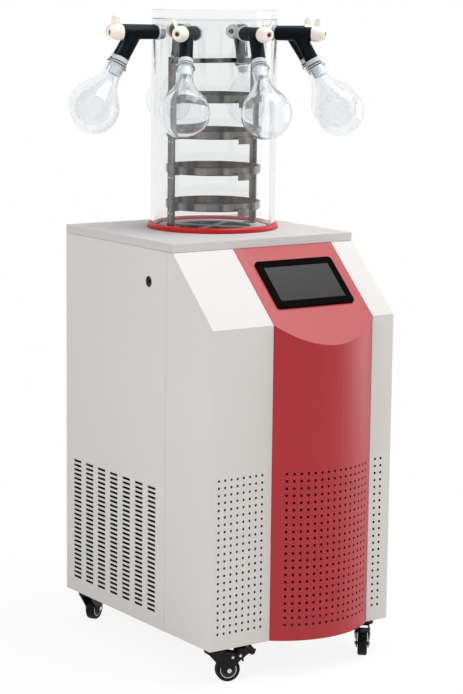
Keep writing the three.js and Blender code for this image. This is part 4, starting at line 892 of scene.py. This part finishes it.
# The joint is turned white plastic with a rubber ring either side of its rib.
joint = [
    (PORT_BORE, 40), (11.5, 40), (11.5, 61), (15.4, 61.4), (15.4, 70), (14.4, 71), (14.4, 73), (17.2, 73.6),
    (17.2, 75.8), (14.4, 76.4), (14.4, JOINT_END), (13.7, JOINT_END + 0.4), (12.6, JOINT_END + 22),
    (PORT_BORE, JOINT_END + 22), (PORT_BORE, 40),
]
joint_mesh = smoothed(turned(eased(joint, 0.6), 64))
band = [(13.2, -0.8), (15.6, -0.9), (16.6, 0), (15.6, 0.9), (13.2, 0.8), (13.2, -0.8)]
band_mesh = turned(eased(band, 0.6), 48)
bands = smoothed(gathered([(band_mesh, spot(0, 0, 72.2)), (band_mesh, spot(0, 0, 77.2))]))

plug = [
    (0, -26), (SPINDLE - 0.6, -26), (SPINDLE, -25), (SPINDLE, 0), (KNOB_RADIUS - 0.4, 0.2), (KNOB_RADIUS, 8),
    (15.6, 14), (13.4, 21), (10.6, 26.5), (9.2, KNOB_LENGTH), (5.2, KNOB_LENGTH), (5.2, 15), (0, 15),
]
x = VALVE_END + 0.3
plug_foot = spot(x, 0, 0) @ turn(90, "Y")
plug_mesh = gathered([(turned(eased(plug, 1.4), 64), plug_foot)])
wing_side = [
    (x + 2, 0), (x + 19, 0), (x + 16, WING_REACH - 3), (x + 13, WING_REACH), (x + 8, WING_REACH),
    (x + 4, WING_REACH - 4), (x + 2, 0),
]
blade = prisms([[(px, -2, pz) for px, pz in eased(wing_side, 4, 4)[:-1]]], [(0, 1, 0)], 4)
shape = bmesh.new()
shape.from_mesh(blade)
rims = [e for e in shape.edges if len(e.link_faces) == 2 and e.calc_face_angle(0) > 1.2]
bmesh.ops.bevel(
    shape, geom=rims, offset=1.2 * MM, segments=3, profile=0.5, affect="EDGES", clamp_overlap=True
)
shape.to_mesh(blade)
shape.free()
plug_mesh = smoothed(combined(plug_mesh, blade, "UNION"), 40)
liner = [(0, 14.6), (5, 14.6), (5, KNOB_LENGTH - 0.6), (4.2, KNOB_LENGTH - 0.6), (4.2, 15.6), (0, 15.6)]
liner_mesh = smoothed(gathered([(turned(liner, 32), plug_foot)]))

for k, (angle, roll, knob_turn) in enumerate(zip(PORT_ANGLES, VALVE_ROLLS, KNOB_TURNS)):
    port = chamber_foot @ spot(0, 0, PORT_HEIGHT) @ turn(angle, "Z")
    hung = port @ turn(roll, "X")
    n = k + 1
    show(f"valve_tee_{n}", tee, rubber, "cabinet", f"valve_body_{n}", hung)
    show(f"valve_joint_{n}", joint_mesh, polypropylene, "cabinet", at=hung @ down_leg)
    show(f"valve_bands_{n}", bands, rubber, "cabinet", at=hung @ down_leg)
    held = port @ turn(knob_turn, "X")
    show(f"valve_plug_{n}", plug_mesh, cream, f"knob_{n}", f"valve_knob_{n}", held)
    show(f"plug_bore_{n}", liner_mesh, tan, f"knob_{n}", at=held)


# ---- Flasks -------------------------------------------------------------------------------------
# Blown borosilicate flasks, pear shaped, with a beaded neck pushed up over the joint's cone. The
# wall is even, so a flask shows chiefly by what it bends and by its edges.
borosilicate, tree = new_tree("blown_borosilicate_glass")
skin = add(
    tree, "BsdfPrincipled",
    {"Base Color": "#f9fafb", "Roughness": 0.035, "IOR": 1.47, "Transmission Weight": 1.0},
)
add(tree, "OutputMaterial", {"Surface": skin})

BALL, NECK, NECK_LENGTH, BEAD, FLASK_WALL, FLASK_LENGTH = 51.5, 16.3, 25.0, 19.5, 2.0, 156.0
BALL_START = 38  # degrees above the ball's middle where its shoulder begins


def flank(inset):
    """Outline of the flask from its neck's foot over shoulder and ball to the base"""
    ball, neck, middle = BALL - inset, NECK - inset, FLASK_LENGTH - BALL
    side, rise = math.cos(math.radians(BALL_START)), math.sin(math.radians(BALL_START))
    meet, run = Vector((ball * side, middle - ball * rise)), Vector((rise, side))
    p0, p1, p2 = Vector((neck, NECK_LENGTH)), Vector((neck, NECK_LENGTH + 14)), meet - 26 * run
    curve = [
        (1 - t) ** 3 * p0 + 3 * t * (1 - t) ** 2 * p1 + 3 * t**2 * (1 - t) * p2 + t**3 * meet
        for t in (k / 20 for k in range(20))
    ]
    turns = [math.radians(a) for a in range(-BALL_START, 90, 3)]
    arc = [(ball * math.cos(a), middle + ball * math.sin(a)) for a in turns]
    return [tuple(p) for p in curve] + arc + [(0, middle + ball)]


mouth = NECK - FLASK_WALL
glass_outline = [
    (mouth, 0.6), (mouth + 0.8, 0), (BEAD - 1.8, 0), (BEAD, 1.6), (BEAD, 3.4), (BEAD - 1.6, 5),
    (NECK + 0.4, 6.2), (NECK, 7.5),
]
glass_outline += flank(0) + flank(FLASK_WALL)[::-1] + [(mouth, 0.6)]
flask_mesh = smoothed(turned(glass_outline, 128), 60)
for k, (angle, roll) in enumerate(zip(PORT_ANGLES, VALVE_ROLLS)):
    hung = chamber_foot @ spot(0, 0, PORT_HEIGHT) @ turn(angle, "Z") @ turn(roll, "X") @ down_leg
    place = hung @ spot(0, 0, JOINT_END + 0.3)
    n = k + 1
    glass = show(f"flask_glass_{n}", flask_mesh, borosilicate, "cabinet", f"flask_{n}", place)
    glass.visible_shadow = False


# ---- Casters ------------------------------------------------------------------------------------
# Pressed steel forks, coated black, that swivel on a ball race under a plate screwed to the pan. The
# wheels are black rubber on a nylon core, and the front pair has a foot lever that locks them.
WHEEL, WHEEL_WIDTH, TRAIL = 25.0, 20.0, 27.0
BRAKE_PIVOT = (50.0, 55.0)
HEADINGS = {"front_left": -18, "front_right": -129, "rear_left": 32, "rear_right": -60}
CASTER_SPOTS = {
    "front_left": (-190, 35), "front_right": (190, 35), "rear_left": (-190, 530), "rear_right": (190, 530),
}

tread, tree = new_tree("moulded_tyre_rubber")
# Dense grey-black rubber, scuffed matt along the tread.
scuff, tone = mottled(tree, 4, 4.0, "#060606", "#121212")
sheen = add(tree, "MapRange", {"Value": scuff, "To Min": 0.45, "To Max": 0.7})
skin = add(tree, "BsdfPrincipled", {"Base Color": tone, "Roughness": sheen, "Specular IOR Level": 0.15})
add(tree, "OutputMaterial", {"Surface": skin})

half = WHEEL_WIDTH / 2
tyre = [
    (17.6, -half + 1.2), (19, -half), (WHEEL - 3, -half), (WHEEL - 0.8, -half + 1.2), (WHEEL, -half + 4),
    (WHEEL, half - 4), (WHEEL - 0.8, half - 1.2), (WHEEL - 3, half), (19, half), (17.6, half - 1.2),
    (17.6, -half + 1.2),
]
core = [
    (4.6, -half), (9.5, -half), (11, -half + 3.4), (15.2, -half + 3.4), (17.4, -half + 2.4),
    (17.4, half - 2.4), (15.2, half - 3.4), (11, half - 3.4), (9.5, half), (4.6, half), (4.6, -half),
]
seat = [
    (15.6, half - 2.3), (17.5, half - 2.3), (17.5, half - 1.0), (16.6, half - 0.6), (15.6, half - 1.2),
    (15.6, half - 2.3),
]
across = turn(-90, "X")
tyre_mesh = smoothed(gathered([(turned(eased(tyre, 1), 64), across)]))
core_mesh = smoothed(gathered([(turned(eased(core, 0.6), 64), across)]))
seat_ring = turned(eased(seat, 0.3), 64)
seat_mesh = smoothed(gathered([(seat_ring, across), (seat_ring, turn(90, "X"))]))

dome = turned([(0, -0.4), (3.3, -0.4), (3.3, 0.4), (2.6, 1.4), (1.4, 1.9), (0, 2.0)], 24)
nut_dome = turned([(0, -1), (4.3, -1), (5.4, 1.5), (4.6, 3.5), (0, 3.5)], 32)
axle_nut = combined(hexagon(5.2, 0, 3.4), nut_dome, "INTERSECT")
cheek_face = half + 3.5
fixings = [(axle_nut, spot(TRAIL, s * (cheek_face - 0.1), WHEEL) @ turn(-90 * s, "X")) for s in (-1, 1)]
fixings += [(dome, spot(34.7, s * cheek_face, 52) @ turn(-90 * s, "X")) for s in (-1, 1)]
fixings_mesh = smoothed(gathered(fixings))

# The lever: two side arms joined by a dished pad for the foot
ARM, ARM_SHEET = 14.1, 1.8
px, pz = BRAKE_PIVOT
arm = [
    (px - 6, pz - 5), (px, pz - 7.5), (px + 2, pz - 9), (px + 5, pz - 12.5), (px + 8, pz - 11.5),
    (px + 6, pz - 6), (px + 11, pz - 1.5), (px + 17.5, pz + 3.6), (px + 26, pz - 0.5), (px + 31, pz + 4),
    (px + 33, pz + 12.5), (px + 30.5, pz + 13), (px + 26, pz + 10.5), (px + 15, pz + 16.5),
    (px + 4, pz + 14.5), (px - 5, pz + 13), (px - 6, pz - 5),
]
arm_path = [Vector((a, 0, b)) for a, b in eased(arm, 1.6)[:-1]]
arms = prisms(
    [[p + Vector((0, y, 0)) for p in arm_path] for y in (-ARM - ARM_SHEET, ARM)], [(0, 1, 0)] * 2, ARM_SHEET
)
dish = [(px + 12, pz + 14.2), (px + 15.5, pz + 14.8), (px + 26, pz + 9.2), (px + 31, pz + 10.6)]
dish = bent_strip(dish, ARM_SHEET, 2 * ARM + 0.6)
web = bent_strip([(px - 2, pz + 3), (px + 9, pz + 6), (px + 17, pz + 8.4)], 7, 2 * (half + 0.6))
lengthwise = turn(90, "Z") @ Matrix.Scale(-1, 4, (0, 1, 0))
lever = smoothed(faced_out(gathered([(arms, Matrix()), (dish, lengthwise), (web, lengthwise)])))
pins = [(dome, spot(px, s * (ARM + ARM_SHEET), pz) @ turn(-90 * s, "X")) for s in (-1, 1)]
pins_mesh = smoothed(gathered(pins))

for corner, (x, y) in CASTER_SPOTS.items():
    swivel = Matrix.Translation(in_cabinet(x, y, 0) * MM) @ Matrix.Translation((0, 0, -cabinet_foot.z))
    swivel = swivel @ turn(HEADINGS[corner], "Z")
    axle = swivel @ spot(TRAIL, 0, WHEEL)
    fork = smoothed(rounded_copy(f"caster_fork_{corner}", 0.5))
    rides, rolls = f"swivel_{corner}", f"wheel_{corner}"
    show(f"fork_{corner}", fork, black_coat, rides, f"caster_fork_{corner}")
    show(f"fork_fixings_{corner}", fixings_mesh, bright_zinc, rides, at=swivel)
    show(f"tyre_{corner}", tyre_mesh, tread, rolls, f"caster_wheel_{corner}", axle)
    show(f"wheel_core_{corner}", core_mesh, glass_filled_nylon, rolls, at=axle)
    show(f"wheel_rim_ring_{corner}", seat_mesh, bright_zinc, rolls, at=axle)
    if corner.startswith("front"):
        presses = f"brake_{corner}"
        brake = f"caster_brake_{corner}"
        show(f"brake_lever_{corner}", lever, black_coat, presses, brake, swivel)
        show(f"brake_pins_{corner}", pins_mesh, bright_zinc, presses, at=swivel)
